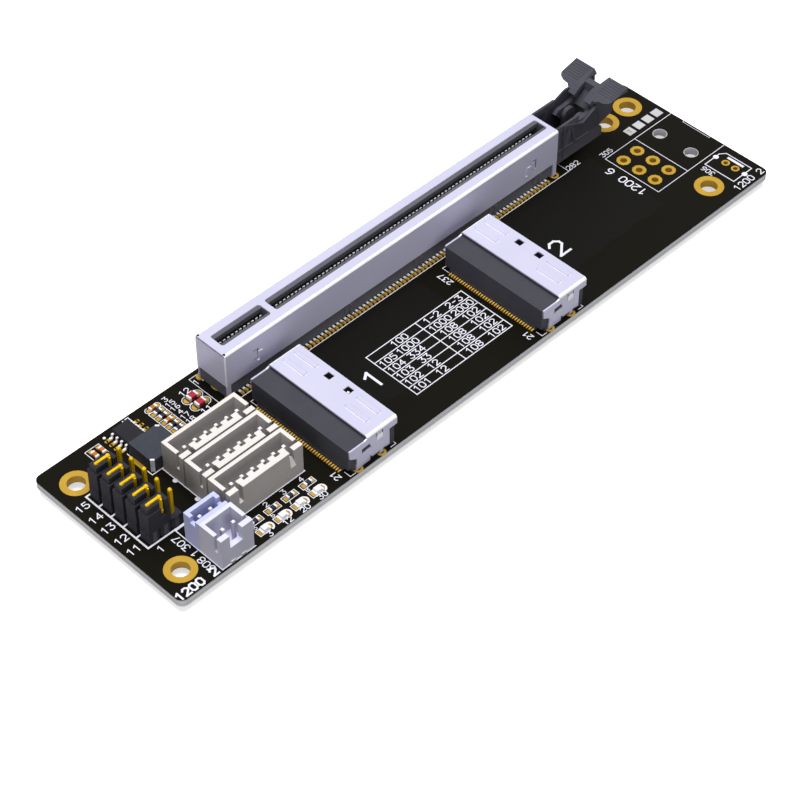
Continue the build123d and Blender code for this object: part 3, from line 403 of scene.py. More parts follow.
FINISHES = (
    gold("gold_plate", (200, 162, 62), (184, 144, 48)),
    gold("jumper_gold", (244, 202, 26), (226, 180, 14), roughness=0.36),
    rolled("shield_metal", (209, 208, 231), (201, 200, 224), mottle=12.0),
    # Painted shade lines along one side of each shell rib.
    rolled("painted_rib_shade", (150, 150, 168), (138, 138, 156), mottle=2.0),
    # Near-white painted highlight for rib edges, tongue lips, corner folds and shell tabs.
    rolled("painted_highlight", (252, 252, 255), (244, 244, 252), mottle=4.0),
    fine_moulded("black_moulding", (74, 74, 82), (68, 68, 76), mottle=4.0),
    fine_moulded("jumper_moulding", (54, 54, 60), (46, 46, 52), mottle=2.0),
    fine_moulded("slot_moulding", (104, 104, 112), (94, 94, 102), mottle=5.0),
    moulded("shadow_gap", (4, 4, 5), (2, 2, 3), roughness=0.8, spread=0.1, grain=0.1, mottle=2.0, sheen=0.05),
    coarse_moulded("latch_moulding", (84, 84, 93), (75, 75, 84)),
    coarse_moulded("latch_frame", (70, 70, 80), (60, 60, 70)),
    # The white, grey and blue mouldings carry painted shade on their sides.
    moulded("white_moulding", (236, 231, 228), (228, 223, 219), mottle=4.0, side=0.57),
    moulded("grey_moulding", (230, 230, 248), (218, 218, 238), side=0.78),
    moulded("blue_moulding", (206, 211, 252), (196, 202, 246), side=0.84),
    # Painted highlight: a brighter copy of the white moulding, without side shade, for the header's wedge.
    moulded("painted_wedge_highlight", (254, 252, 250), (250, 247, 244), mottle=4.0),
    plated("tin_plate", (252, 252, 255), (242, 242, 248)),
    plated("tail_gold", (254, 214, 118), (250, 200, 96)),
    plated("bare_tin", (206, 206, 210), (192, 192, 196), metallic=0.15, roughness=0.45),
    # Painted highlight on the pins' upward tips.
    plated("pin_plate", (206, 206, 222), (186, 186, 204), metallic=0.15, crown=True),
    moulded("black_package", (48, 48, 52), (42, 42, 46), roughness=0.7, grain=0.08, mottle=1.2),
    fired("inductor_coat", (70, 73, 82), (63, 66, 75), roughness=0.65, spread=0.14, grain=0.14, depth=0.008,
          mottle=1.4),
    fired("capacitor_ceramic", (206, 128, 52), (188, 110, 40)),
    fired("resistor_ceramic", (58, 58, 70), (46, 46, 58), mottle=0.4),
    fired("coupling_ceramic", (190, 60, 70), (174, 46, 56), mottle=0.6),
    fired("lamp_lens", (246, 246, 248), (230, 230, 234), roughness=0.3, grain=0.2, coat=0.2),
    Finish("print_ink", (242, 242, 252), (234, 234, 246), Texture.INK, roughness=0.7, spread=0.1, grain=0.18,
           depth=0.003, mottle=1.0),
)


class FinishShelf:
    """Every finish, made once and handed out by name."""

    def __init__(self) -> None:
        """Make the materials."""
        self.materials = {finish.name: finish.build() for finish in FINISHES}
        self.materials["solder_mask"] = BoardFinish().build()

    def dress(self, piece: bpy.types.Object, finish: str) -> None:
        """Give a piece one finish all over."""
        piece.data.materials.clear()
        piece.data.materials.append(self.materials[finish])


class SolidDressing:
    """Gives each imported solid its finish."""

    by_ending = (("_shell", "shield_metal"), ("_contacts", "tail_gold"), ("_pins", "pin_plate"))
    by_start = (("jumper_base", "jumper_moulding"), ("jumper_cap", "jumper_moulding"),
                ("wafer_header", "white_moulding"))
    by_finish = {
        "solder_mask": ("circuit_board",),
        "gold_plate": ("mounting_hole_plating", "spare_socket_lands"),
        "jumper_gold": ("jumper_pins", "jumper_clips"),
        "tin_plate": ("slot_contacts_near", "slot_contacts_far", "regulator_leads", "inductor_terminals",
                      "chip_end_caps"),
        "shield_metal": ("slot_shield",),
        "slot_moulding": ("slot_housing",),
        "latch_moulding": ("latch_bracket", "slot_latch"),
        "grey_moulding": ("open_header_housing",),
        "blue_moulding": ("small_header_housing",),
        "black_package": ("regulator_body",),
        "inductor_coat": ("inductor_body",),
        "capacitor_ceramic": ("chip_capacitors",),
        "resistor_ceramic": ("chip_resistors", "lamp_resistors"),
        "coupling_ceramic": ("coupling_capacitors",),
        "lamp_lens": ("indicator_lamps",),
    }

    def finish_of(self, node: str) -> str:
        """The finish of a solid, by its name."""
        for finish, nodes in self.by_finish.items():
            if node in nodes:
                return finish
        for ending, finish in self.by_ending:
            if node.endswith(ending):
                return finish
        for start, finish in self.by_start:
            if node.startswith(start):
                return finish
        return "black_moulding"

    def build(self, shelf: FinishShelf) -> None:
        """Dress every solid of the frame."""
        for name, solid in frame["nodes"].items():
            shelf.dress(solid, self.finish_of(name))
        LOG.info("dressed %d solids", len(frame["nodes"]))


class Workbench:
    """A new mesh, open in edit mode, that shapes are added to and worked on."""

    def __init__(self, name: str) -> None:
        """Start an empty piece at the origin."""
        bpy.ops.object.select_all(action="DESELECT")
        bpy.ops.object.add(type="MESH", location=(0, 0, 0))
        self.piece = bpy.context.object
        self.piece.name = name
        self.piece.data.name = name
        bpy.ops.object.mode_set(mode="EDIT")

    def block(self, low: Sequence[float], high: Sequence[float], turn: float = 0.0,
              bevel: float = 0.0) -> None:
        """Add a box between two corners.

        Args:
            low: Its lowest corner, in millimetres.
            high: Its highest corner.
            turn: An angle about its own upright axis, in radians.
            bevel: The width of its rounded edges.
        """
        middle = [(a + b) / 2 * MM for a, b in zip(low, high)]
        size = [(b - a) * MM for a, b in zip(low, high)]
        bpy.ops.mesh.primitive_cube_add(size=1, location=middle, rotation=(0, 0, turn), scale=size)
        if bevel:
            bpy.ops.mesh.bevel(offset=bevel * MM, segments=2, affect="EDGES")

    def post(self, centre: Place, radius: float, low: float, high: float, sides: int = 16) -> None:
        """Add an upright round post."""
        place = (centre[0] * MM, centre[1] * MM, (low + high) / 2 * MM)
        depth = (high - low) * MM
        bpy.ops.mesh.primitive_cylinder_add(vertices=sides, radius=radius * MM, depth=depth, location=place)

    def ring(self, centre: Place, inner: float, outer: float, low: float, high: float,
             sides: int = 24) -> None:
        """Add a flat ring.

        Args:
            centre: Its middle, in millimetres.
            inner: The radius of its hole.
            outer: The radius of its rim.
            low: The height of its underside.
            high: The height of its top.
            sides: How many flats it has.
        """
        place = Vector((centre[0] * MM, centre[1] * MM, low * MM))
        bpy.ops.mesh.primitive_circle_add(vertices=sides, radius=inner * MM, location=place)
        bpy.ops.mesh.extrude_edges_move()
        grow, reach, depth = outer / inner, outer * MM * 1.01, (high - low) * MM
        bpy.ops.transform.resize(value=(grow, grow, 1), center_override=place)
        self.select(lambda point: abs(point.z - place.z) < 0.2 * depth and
                    (point.xy - place.xy).length < reach)
        bpy.ops.mesh.extrude_region_move(TRANSFORM_OT_translate={"value": (0, 0, depth)})
        self.select(lambda point: (point.xy - place.xy).length < reach)
        bpy.ops.mesh.normals_make_consistent(inside=False)

    def select(self, chosen: Callable[[Vector], bool]) -> None:
        """Select the vertices that a test on their place picks, with the edges and faces between them."""
        mesh = bmesh.from_edit_mesh(self.piece.data)
        bpy.ops.mesh.select_all(action="DESELECT")
        for vertex in mesh.verts:
            vertex.select = chosen(vertex.co)
        mesh.select_flush(True)
        bmesh.update_edit_mesh(self.piece.data)

    def profile(self, points: Sequence[Place], start: float, end: float) -> None:
        """Add a prism along Y from an outline of X and Z.

        Args:
            points: The outline, in millimetres.
            start: The Y of its near face.
            end: The Y of its far face.
        """
        mesh = bmesh.from_edit_mesh(self.piece.data)
        bpy.ops.mesh.select_all(action="DESELECT")
        face = mesh.faces.new([mesh.verts.new((x * MM, start * MM, z * MM)) for x, z in points])
        face.select_set(True)
        bmesh.update_edit_mesh(self.piece.data)
        bpy.ops.mesh.extrude_region_move(TRANSFORM_OT_translate={"value": (0, (end - start) * MM, 0)})
        bpy.ops.mesh.select_linked()
        bpy.ops.mesh.normals_make_consistent(inside=False)

    def finish(self, shelf: FinishShelf, finish: str, slot: str, body: str = "board") -> bpy.types.Object:
        """Close the mesh, dress it and tie it to its body.

        Args:
            shelf: Where the finishes are kept.
            finish: The finish's name.
            slot: The record's material slot; not used.
            body: The body that it moves with.

        Returns:
            The finished piece.
        """
        bpy.ops.object.mode_set(mode="OBJECT")
        shelf.dress(self.piece, finish)
        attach(self.piece, body)
        LOG.info("%s: %d faces", self.piece.name, len(self.piece.data.polygons))
        return self.piece


GLYPHS: dict[str, tuple[tuple[Place, ...], ...]] = {
    "0": (((0.2, 0), (0, 0.2), (0, 0.8), (0.2, 1), (0.5, 1), (0.7, 0.8), (0.7, 0.2), (0.5, 0), (0.2, 0)),),
    "1": (((0.1, 0.78), (0.4, 1), (0.4, 0)),),
    "2": (((0, 0.8), (0.2, 1), (0.5, 1), (0.7, 0.8), (0.7, 0.6), (0, 0), (0.7, 0)),),
    "3": (((0, 1), (0.7, 1), (0.35, 0.6), (0.55, 0.58), (0.7, 0.4), (0.7, 0.2), (0.5, 0), (0.2, 0),
           (0, 0.15)),),
    "4": (((0.55, 0), (0.55, 1), (0, 0.3), (0.75, 0.3)),),
    "5": (((0.65, 1), (0.1, 1), (0.05, 0.6), (0.5, 0.6), (0.7, 0.42), (0.7, 0.18), (0.5, 0), (0.2, 0),
           (0, 0.15)),),
    "6": (((0.6, 1), (0.3, 1), (0, 0.6), (0, 0.2), (0.2, 0), (0.5, 0), (0.7, 0.2), (0.7, 0.38), (0.5, 0.56),
           (0, 0.5)),),
    "7": (((0, 1), (0.7, 1), (0.25, 0)),),
    "8": (((0.2, 0.54), (0, 0.7), (0, 0.85), (0.2, 1), (0.5, 1), (0.7, 0.85), (0.7, 0.7), (0.5, 0.54),
           (0.2, 0.54), (0, 0.36), (0, 0.18), (0.2, 0), (0.5, 0), (0.7, 0.18), (0.7, 0.36), (0.5, 0.54)),),
    "-": (((0.1, 0.5), (0.6, 0.5)),),
    " ": (),
}


def arc(centre: Place, radius: float, start: float, end: float, steps: int = 6) -> list[Place]:
    """Points along a circle, between two angles in degrees."""
    angles = [math.radians(start + (end - start) * step / steps) for step in range(steps + 1)]
    return [(centre[0] + radius * math.cos(angle), centre[1] + radius * math.sin(angle)) for angle in angles]


@dataclass
class BoardPrint:
    """The white lines, frames, dots and numbers printed on the board."""

    bench: Optional[Workbench] = None
    ink: float = 0.02
    layer: float = 0.004
    layers: int = 6
    laid: int = 0
    overrun: float = 0.45
    fine: float = 0.14
    line: float = 0.2
    heavy: float = 0.36
    slimness: float = 7.0
    glyph_width: float = 0.7
    glyph_step: float = 0.98
    tiny_text: float = 1.05
    small_text: float = 1.2
    bracket_sweep: float = 100.0
    slot_low: Place = (-39.28, 8.93)
    slot_high: Place = (54.0, 19.1)
    table_low: Place = (-12.1, -13.4)
    table_high: Place = (13.45, 0.05)
    table_divider: float = 0.9
    table_text: float = 1.4
    table_columns: tuple = (-9.6, -4.4, 4.3, 10.3)
    table_cells: tuple = (
        ("101", "12", "108", "102"), ("102", "12", "108", "102"), ("103", "33", "108", "102"),
        ("104", "334", "108", "102"), ("105", "1000", "1000", "2000"), ("", "100", "1-2", "2-3"))
    connector_starts: Place = (-34.9, 15.45)
    connector_low: float = -19.3
    connector_high: float = 6.95
    connector_depth: float = 11.4
    corner_mark: float = 1.25
    rear_marks: Place = (1.5, 1.8)
    connector_numbers: tuple = (("21", -17.3), ("237", 4.4))
    number_gap: float = 1.85
    comb: tuple = ((-70.4, 10.3), (-71.35, 10.3), (-71.35, -6.5), (-62.4, -6.6))
    comb_tooth: Place = (-71.35, -70.05)
    comb_teeth: tuple = (6.9, 3.6, 0.3, -3.2)
    row_numbers: tuple = (("15", 8.8), ("14", 5.2), ("13", 1.9), ("12", -1.7), ("11", -5.0))
    row_text: float = 1.45
    column_x: Place = (-50.45, -47.15)
    column_lines_y: tuple = (17.6, 16.2, 14.75, 13.3, 11.9, 10.5)
    column_numbers: tuple = (("3", 18.4), ("15", 17.0), ("16", 15.6), ("4", 14.2), ("17", 12.8), ("18", 11.3))
    lamp_x: tuple = (-54.1, -49.9, -45.7, -41.45)
    lamp_numbers: tuple = ("3", "12", "20", "30")

    def stroke(self, start: Place, end: Place, width: float = 0.0) -> None:
        """Print one straight line with square ends, a hair above or below the line before it.

        Args:
            start: Where it starts.
            end: Where it ends.
            width: Its width, or nought for the usual line.
        """
        width = width or self.line
        run = Vector(end) - Vector(start)
        middle = (Vector(start) + Vector(end)) / 2
        half = Vector((run.length / 2 + width * self.overrun, width / 2))
        self.laid += 1
        top = BOARD_TOP + self.ink + self.layer * (self.laid % self.layers)
        low = (middle.x - half.x, middle.y - half.y, INLAID)
        high = (middle.x + half.x, middle.y + half.y, top)
        self.bench.block(low, high, turn=math.atan2(run.y, run.x))

    def path(self, points: Sequence[Place], width: float = 0.0) -> None:
        """Print a line through several points."""
        for start, end in zip(points, points[1:]):
            self.stroke(start, end, width)

    def frame_lines(self, low: Place, high: Place, width: float = 0.0) -> None:
        """Print a rectangle between two corners."""
        self.path((low, (high[0], low[1]), high, (low[0], high[1]), low), width)

    def dot(self, centre: Place, radius: float) -> None:
        """Print a round dot."""
        self.bench.post(centre, radius, INLAID, BOARD_TOP + self.ink)

    def number(self, text: str, centre: Place, height: float, turn: float = 0.0, width: float = 0.0) -> None:
        """Print a plain number in single strokes.

        Args:
            text: Its digits.
            centre: Its middle.
            height: The height of its digits.
            turn: Its angle in degrees.
            width: The width of a stroke, or nought for one that suits the height.
        """
        length = self.glyph_step * (len(text) - 1) + self.glyph_width
        cos, sin = math.cos(math.radians(turn)), math.sin(math.radians(turn))
        for index, digit in enumerate(text):
            first = index * self.glyph_step
            for line in GLYPHS[digit]:
                flat = [((x + first - length / 2) * height, (y - 0.5) * height) for x, y in line]
                points = [(centre[0] + x * cos - y * sin, centre[1] + x * sin + y * cos) for x, y in flat]
                self.path(points, width or height / self.slimness)

    def capsule(self, centre: Place, reach: float, radius: float) -> None:
        """Print the round brackets at both ends of a chip that lies along X.

        Args:
            centre: The chip's middle.
            reach: How far out each bracket is centred.
            radius: Its radius.
        """
        for side, middle in ((-1, 180), (1, 0)):
            place = (centre[0] + side * reach, centre[1])
            self.path(arc(place, radius, middle - self.bracket_sweep, middle + self.bracket_sweep), self.fine)

    def table(self) -> None:
        """Print the setting table: a frame, its rows, the line between its columns and its numbers."""
        low, high = self.table_low, self.table_high
        self.frame_lines(low, high)
        step = (high[1] - low[1]) / len(self.table_cells)
        for row in range(1, len(self.table_cells)):
            self.stroke((low[0], low[1] + row * step), (high[0], low[1] + row * step))
        self.stroke((self.table_divider, low[1]), (self.table_divider, high[1]))
        for row, texts in enumerate(self.table_cells):
            for x, text in zip(self.table_columns, texts):
                self.number(text, (x, low[1] + (row + 0.5) * step), self.table_text)

    def slot_lines(self) -> None:
        """Print the frame round the card slot and its end numbers."""
        self.frame_lines(self.slot_low, self.slot_high, self.fine)
        self.number("11", (-38.2, 17.7), self.small_text)
        self.number("282", (55.9, 9.6), self.small_text)

    def connector_lines(self) -> None:
        """Print the corner marks of the cable connectors, and their first and last numbers."""
        low, high, mark = self.connector_low, self.connector_high, self.corner_mark
        for start in self.connector_starts:
            front = start + self.connector_depth
            self.path(((start, high - self.rear_marks[1]), (start, high), (start + mark, high)), self.fine)
            self.path(((start, low + self.rear_marks[0]), (start, low), (start + mark, low)), self.fine)
            self.path(((front - mark, low), (front, low), (front, low + mark)), self.fine)
            for text, y in self.connector_numbers:
                self.number(text, (start - self.number_gap, y), self.small_text, 90)

    def header_lines(self) -> None:
        """Print the outlines of the wire headers, their dots and numbers."""
        self.frame_lines((-57.35, -12.5), (-39.7, 5.8))
        self.path(((-58.0, -6.85), (-65.35, -6.85), (-65.45, -19.2), (-57.7, -19.2)))
        for place in ((-57.6, 2.05), (-57.7, -4.0)):
            self.dot(place, 0.5)
        numbers = (("307", (-66.6, -9.7), 90), ("1", (-66.4, -13.0), 90), ("308", (-66.6, -16.3), 90),
                   ("1", (-69.9, -8.1), 0))
        for text, place, turn in numbers:
            self.number(text, place, 1.35, turn)
        self.number("1200 2", (-70.7, -18.4), 1.6, 0, self.heavy)

    def jumper_lines(self) -> None:
        """Print the comb beside the jumper rows, and a number for each row."""
        self.path(self.comb, self.heavy)
        for y in self.comb_teeth:
            self.stroke((self.comb_tooth[0], y), (self.comb_tooth[1], y), self.heavy)
        for text, y in self.row_numbers:
            self.number(text, (-73.4, y), self.row_text)

    def column_lines(self) -> None:
        """Print the outlines and numbers of the column of small chips."""
        left, right = self.column_x
        for x in self.column_x:
            self.stroke((x, self.column_lines_y[-1]), (x, self.column_lines_y[0]), self.fine)
        for y in self.column_lines_y:
            self.stroke((left, y), (left + 1.1, y), self.fine)
            self.stroke((right, y), (right - 1.1, y), self.fine)
        self.capsule((-48.8, 18.35), 1.05, 0.68)
        for text, y in self.column_numbers:
            self.number(text, (-45.8, y), self.tiny_text)

    def chip_lines(self) -> None:
        """Print the marks of the other chips, the regulator and the inductor."""
        for y in (15.3, 13.05):
            self.capsule((-41.85, y), 1.15, 1.08)
        for text, y in (("12", 17.3), ("11", 11.2)):
            self.number(text, (-42.0, y), 1.25)
        self.frame_lines((-64.75, 15.05), (-61.55, 18.55), self.fine)
        self.path(((-54.3, 19.75), (-53.6, 19.75), (-53.6, 14.2)))
        self.dot((-54.9, 19.65), 0.16)
        self.dot((-59.9, 18.9), 0.3)
        self.path(((-59.6, 7.3), (-59.6, 5.95), (-56.5, 5.95)))
        self.stroke((-59.5, 12.95), (-59.5, 12.2))

    def lamp_lines(self) -> None:
        """Print the outlines and numbers of the lamps and their resistors."""
        for index, x in enumerate(self.lamp_x):
            left, right = x - 1.65, x + 0.6
            self.frame_lines((x - 1.6, -15.72), (x + 1.6, -14.35), self.fine)
            self.path(((right, -18.35), (left, -18.35), (left, -16.85), (right, -16.85)), self.fine)
            self.path(arc((x + 1.0, -17.6), 0.85, -75, 75), self.heavy)
            self.number(str(index + 1), (x - 0.2, -13.5), self.tiny_text)
            self.number(str(index + 5), (x - 1.05, -16.15), 0.85)
            self.number(self.lamp_numbers[index], (x, -18.98), 1.1)

    def right_end_lines(self) -> None:
        """Print the outlines of the empty footprints at the right-hand end."""
        self.path(((82.45, 6.25), (62.0, 6.25), (62.0, -8.0), (82.45, -8.0)), self.fine)
        self.stroke((71.0, 6.25), (71.0, -8.0), self.fine)
        self.path(((82.5, 2.75), (82.1, 2.75), (82.1, -4.3), (82.5, -4.3)), 0.1)
        self.path(((79.6, -9.1), (75.1, -9.1), (75.1, -16.6), (80.75, -16.6), (80.75, -10.0), (79.6, -9.1)))
        self.stroke((79.95, -11.3), (79.95, -14.9), 0.6)
        for place in ((78.4, -9.2), (78.4, -16.7)):
            self.dot(place, 0.6)
        numbers = (("305", (63.6, 7.4), 1.1, 0), ("306", (73.9, -10.9), 1.1, 90),
                   ("1200 6", (59.8, -1.3), 1.75, 90), ("1200 2", (77.7, -18.3), 1.45, 0))
        for text, place, height, turn in numbers:
            self.number(text, place, height, turn)

    def build(self, shelf: FinishShelf) -> None:
        """Print it all as one piece of ink."""
        self.bench = Workbench("board_print")
        for step in (self.table, self.slot_lines, self.connector_lines, self.header_lines, self.jumper_lines,
                     self.column_lines, self.chip_lines, self.lamp_lines, self.right_end_lines):
            step()
        self.number("1", (-15.1, -4.85), 4.0, 0, 0.55)
        self.number("2", (35.7, -4.95), 3.9, 0, 0.5)
        self.bench.finish(shelf, "print_ink", "white_moulding")


@dataclass
class GoldLands:
    """Gold-plated lands under the leads, rings round the soldered legs, and solder over the slot's toes."""

    bench: Optional[Workbench] = None
    copper: float = 0.035
    lead_rows: tuple = ((-34.6, 1.0, 11), (-21.6, 1.0, 71))
    lead_lands: tuple = ((9.05, 10.9), (17.5, 19.4))
    lead_half: float = 0.25
    toe: float = 0.42
    toe_half: float = 0.24
    toe_reach: Place = (9.15, 9.85)
    tails: tuple = (-16.9, 0.6, 37)
    tail_reach: Place = (0.85, 0.6)
    tail_half: float = 0.16
    leg_offsets: Place = (2.3, 8.1)
    leg_y: Place = (-18.85, 6.65)
    leg_ring_radii: Place = (0.5, 0.98)
    column_x: float = -48.8
    column_y: tuple = (18.3, 16.9, 15.5, 14.0, 12.6, 11.2)
    left_chips: tuple = ((-63.8, 16.8), (-62.15, 16.8))
    lamp_x: tuple = (-54.1, -49.85, -45.65, -41.35)
    coupling_x: float = -41.85
    coupling_y: Place = (15.3, 13.05)
    coupling_half: float = 0.72
    coupling_reach: float = 1.25
    regulator_leads: tuple = (14.095, 1.27, 4)
    regulator_x: float = -56.5
    regulator_reach: float = 3.1
    regulator_land: Place = (0.65, 0.34)
    inductor_lands: tuple = (((-60.1, 7.9), (-58.9, 11.3)), ((-53.2, 7.9), (-51.9, 11.3)))
    slot_legs: tuple = ((50.95, 10.2), (50.95, 18.2), (-37.15, 10.2), (-37.15, 18.2))
    pegs: tuple = ((-35.7, 14.2), (49.5, 14.2))
    peg_ring_radii: Place = (1.25, 2.0)

    def land(self, low: Place, high: Place) -> None:
        """Add one flat land."""
        self.bench.block((*low, INLAID), (*high, BOARD_TOP + self.copper))

    def round_land(self, centre: Place, radius: float) -> None:
        """Add one round land."""
        self.bench.post(centre, radius, INLAID, BOARD_TOP + self.copper)

    def ring_land(self, centre: Place, radii: Place) -> None:
        """Add the ring round a leg or a peg."""
        self.bench.ring(centre, *radii, INLAID, BOARD_TOP + self.copper)

    def pair(self, centre: Place, inner: float, outer: float, half: float, along_x: bool = True) -> None:
        """Add the two lands of a chip.

        Args:
            centre: The chip's middle.
            inner: Where a land starts, from the middle.
            outer: Where it ends.
            half: Half its width.
            along_x: Whether the chip lies along X.
        """
        x, y = centre
        for side in (-1, 1):
            near, far = sorted((side * inner, side * outer))
            low, high = ((near, -half), (far, half)) if along_x else ((-half, near), (half, far))
            self.land((x + low[0], y + low[1]), (x + high[0], y + high[1]))

    def slot_lands(self) -> None:
        """Add a land under each slot lead, and the gold solder over its toe."""
        leads = [x for row in self.lead_rows for x in positions(*row)]
        for x in leads:
            for near, far in self.lead_lands:
                self.land((x - self.lead_half, near), (x + self.lead_half, far))
            self.bench.block((x - self.toe_half, self.toe_reach[0], BOARD_TOP),
                             (x + self.toe_half, self.toe_reach[1], BOARD_TOP + self.toe))

    def connector_lands(self) -> None:
        """Add a land under each tail of the cable connectors, and rings at their legs."""
        for start in CONNECTOR_STARTS:
            for y in positions(*self.tails):
                self.land((start - self.tail_reach[0], y - self.tail_half),
                          (start + self.tail_reach[1], y + self.tail_half))
            for offset in self.leg_offsets:
                for y in self.leg_y:
                    self.ring_land((start + offset, y), self.leg_ring_radii)

    def chip_lands(self) -> None:
        """Add the two lands of each chip and lamp."""
        for y in self.column_y:
            self.pair((self.column_x, y), 0.7, 1.45, 0.42)
        for place in self.left_chips:
            self.pair(place, 0.7, 1.5, 0.45, along_x=False)
        for x in self.lamp_x:
            self.pair((x, -15.05), 0.7, 1.4, 0.45)
            self.pair((x, -17.6), 0.85, 1.5, 0.6)
        for y in self.coupling_y:
            self.pair((self.coupling_x, y), 0.85, self.coupling_reach, self.coupling_half)
            for side in (-1, 1):
                self.round_land((self.coupling_x + side * self.coupling_reach, y), self.coupling_half)

    def part_lands(self) -> None:
        """Add the lands of the regulator, the inductor and the slot's end legs and pegs."""
        reach, half = self.regulator_land
        for y in positions(*self.regulator_leads):
            for side in (-1, 1):
                middle = self.regulator_x + side * self.regulator_reach
                self.land((middle - reach, y - half), (middle + reach, y + half))
                self.round_land((middle + side * 0.6, y), half)
        for low, high in self.inductor_lands:
            self.land(low, high)
        for centre in self.slot_legs:
            self.ring_land(centre, self.leg_ring_radii)
        for centre in self.pegs:
            self.ring_land(centre, self.peg_ring_radii)

    def build(self, shelf: FinishShelf) -> None:
        """Make every land as one piece."""
        self.bench = Workbench("gold_lands")
        for step in (self.slot_lands, self.connector_lands, self.chip_lands, self.part_lands):
            step()
        self.bench.finish(shelf, "gold_plate", "gold_plate")


@dataclass
class BareLands:
    """Silver squares and hole linings at the right-hand end, with a gold number on the first square."""

    squares: tuple = (72.1, 74.9, 77.7, 80.5)
    square_y: float = 8.5
    half: float = 1.02
    copper: float = 0.035
    holes: tuple = ((75.87, 3.605), (75.87, -4.745))
    hole_r: float = 1.5
    lining: float = 0.1
    overlap: float = 0.02
    rim: float = 0.03
    below: float = 0.01
    mark: float = 0.045

    def build(self, shelf: FinishShelf) -> None:
        """Make the squares, the linings and the number."""
        bench = Workbench("bare_lands")
        for x in self.squares:
            bench.block((x - self.half, self.square_y - self.half, INLAID),
                        (x + self.half, self.square_y + self.half, BOARD_TOP + self.copper))
        inner, outer = self.hole_r - self.lining, self.hole_r + self.overlap
        for centre in self.holes:
            bench.ring(centre, inner, outer, -self.below, BOARD_TOP + self.rim, sides=32)
        bench.finish(shelf, "bare_tin", "tin_plate")
        bench = Workbench("square_mark")
        x, y, top = self.squares[0], self.square_y, BOARD_TOP + self.mark
        bench.block((x - 0.12, y - 0.6, BOARD_TOP), (x + 0.16, y + 0.6, top))
        bench.block((x - 0.4, y + 0.3, BOARD_TOP), (x, y + 0.52, top))
        bench.finish(shelf, "gold_plate", "gold_plate")


@dataclass
class SlotTrim:
    """Small features of the card slot: skirts, bosses, painted shadow in the corner notches, pressed tongues
    with painted highlights on their lips, and painted highlights on the corner folds.
    """

    start: float = -37.7
    end: float = 51.5
    near: float = 10.2
    far: float = 18.2
    shield_low: float = 4.9
    shield_top: float = 12.85
    skirt_y: tuple = ((10.52, 10.88), (17.52, 17.88))
    skirt_z: Place = (1.84, 2.34)
    boss_x: tuple = (-6.0, 12.8, 33.7, 46.6)
    boss_half: float = 1.6
    boss_low: float = 2.7
    rib_half: float = 0.25
    notch_inset: float = 0.45
    notch_x: float = 0.28
    notch_r: float = 0.26
    tongue_inset: float = 8.5
    tongue_half: float = 0.55
    tongue_slant: float = 0.2
    tongue_z: tuple = (6.6, 8.5, 8.7)
    lip_z: Place = (6.45, 6.75)
    corner_inset: float = 0.1
    corner_r: float = 0.17
    corner_drop: float = 0.55

    def skirt(self, shelf: FinishShelf) -> None:
        """Make the low walls that the leads come out under, and the bosses on the moulding's side."""
        bench = Workbench("slot_skirt")
        low, high = self.skirt_z
        back = self.near + 0.4
        for near, far in self.skirt_y:
            bench.block((self.start + 0.35, near, low), (self.end - 0.05, far, high))
        for x in self.boss_x:
            bench.block((x - self.boss_half, self.near + 0.12, self.boss_low),
                        (x + self.boss_half, back, self.shield_low - 0.25), bevel=0.08)
            bench.block((x - self.rib_half, self.near - 0.1, low),
                        (x + self.rib_half, back, self.shield_low - 0.4), bevel=0.06)
        bench.finish(shelf, "slot_moulding", "black_moulding")

    def notches(self, shelf: FinishShelf) -> None:
        """Make the painted shadows in the top plate's corner notches, as dark posts."""
        bench = Workbench("notch_shadows")
        for y in (self.near + self.notch_inset, self.far - self.notch_inset):
            place = (self.start + self.notch_x, y)
            bench.post(place, self.notch_r, self.shield_top - 0.1, self.shield_top + 0.015)
        bench.finish(shelf, "shadow_gap", "black_moulding")

    def tongues(self, shelf: FinishShelf) -> None:
        """Make the pressed tongues near the ends of the shield's side, and a painted highlight on the lip of
        each.
        """
        middles = (self.start + self.tongue_inset, self.end - self.tongue_inset)
        foot, right_top, left_top = self.tongue_z
        bench = Workbench("shield_tongues")
        for x in middles:
            left, right = x - self.tongue_half, x + self.tongue_half
            outline = ((left, left_top), (left - self.tongue_slant, foot), (right, foot), (right, right_top))
            bench.profile(outline, self.near - 0.12, self.near + 0.05)
        bench.finish(shelf, "shield_metal", "shield_metal")
        bench = Workbench("tongue_lip_highlights")
        for x in middles:
            left = x - self.tongue_half
            bench.block((left - 0.3, self.near - 0.22, self.lip_z[0]),
                        (left + self.tongue_slant, self.near, self.lip_z[1]), bevel=0.05)
        bench.finish(shelf, "painted_highlight", "shield_metal")

    def corners(self, shelf: FinishShelf) -> None:
        """Make the painted highlights on the rounded upright folds at the closed end, as bright posts."""
        bench = Workbench("corner_highlights")
        x = self.start + self.corner_inset
        for y in (self.near + self.corner_inset, self.far - self.corner_inset):
            bench.post((x, y), self.corner_r, self.shield_low, self.shield_top - self.corner_drop)
        bench.finish(shelf, "painted_highlight", "shield_metal")

    def build(self, shelf: FinishShelf) -> None:
        """Make every piece of trim."""
        for step in (self.skirt, self.notches, self.tongues, self.corners):
            step(shelf)


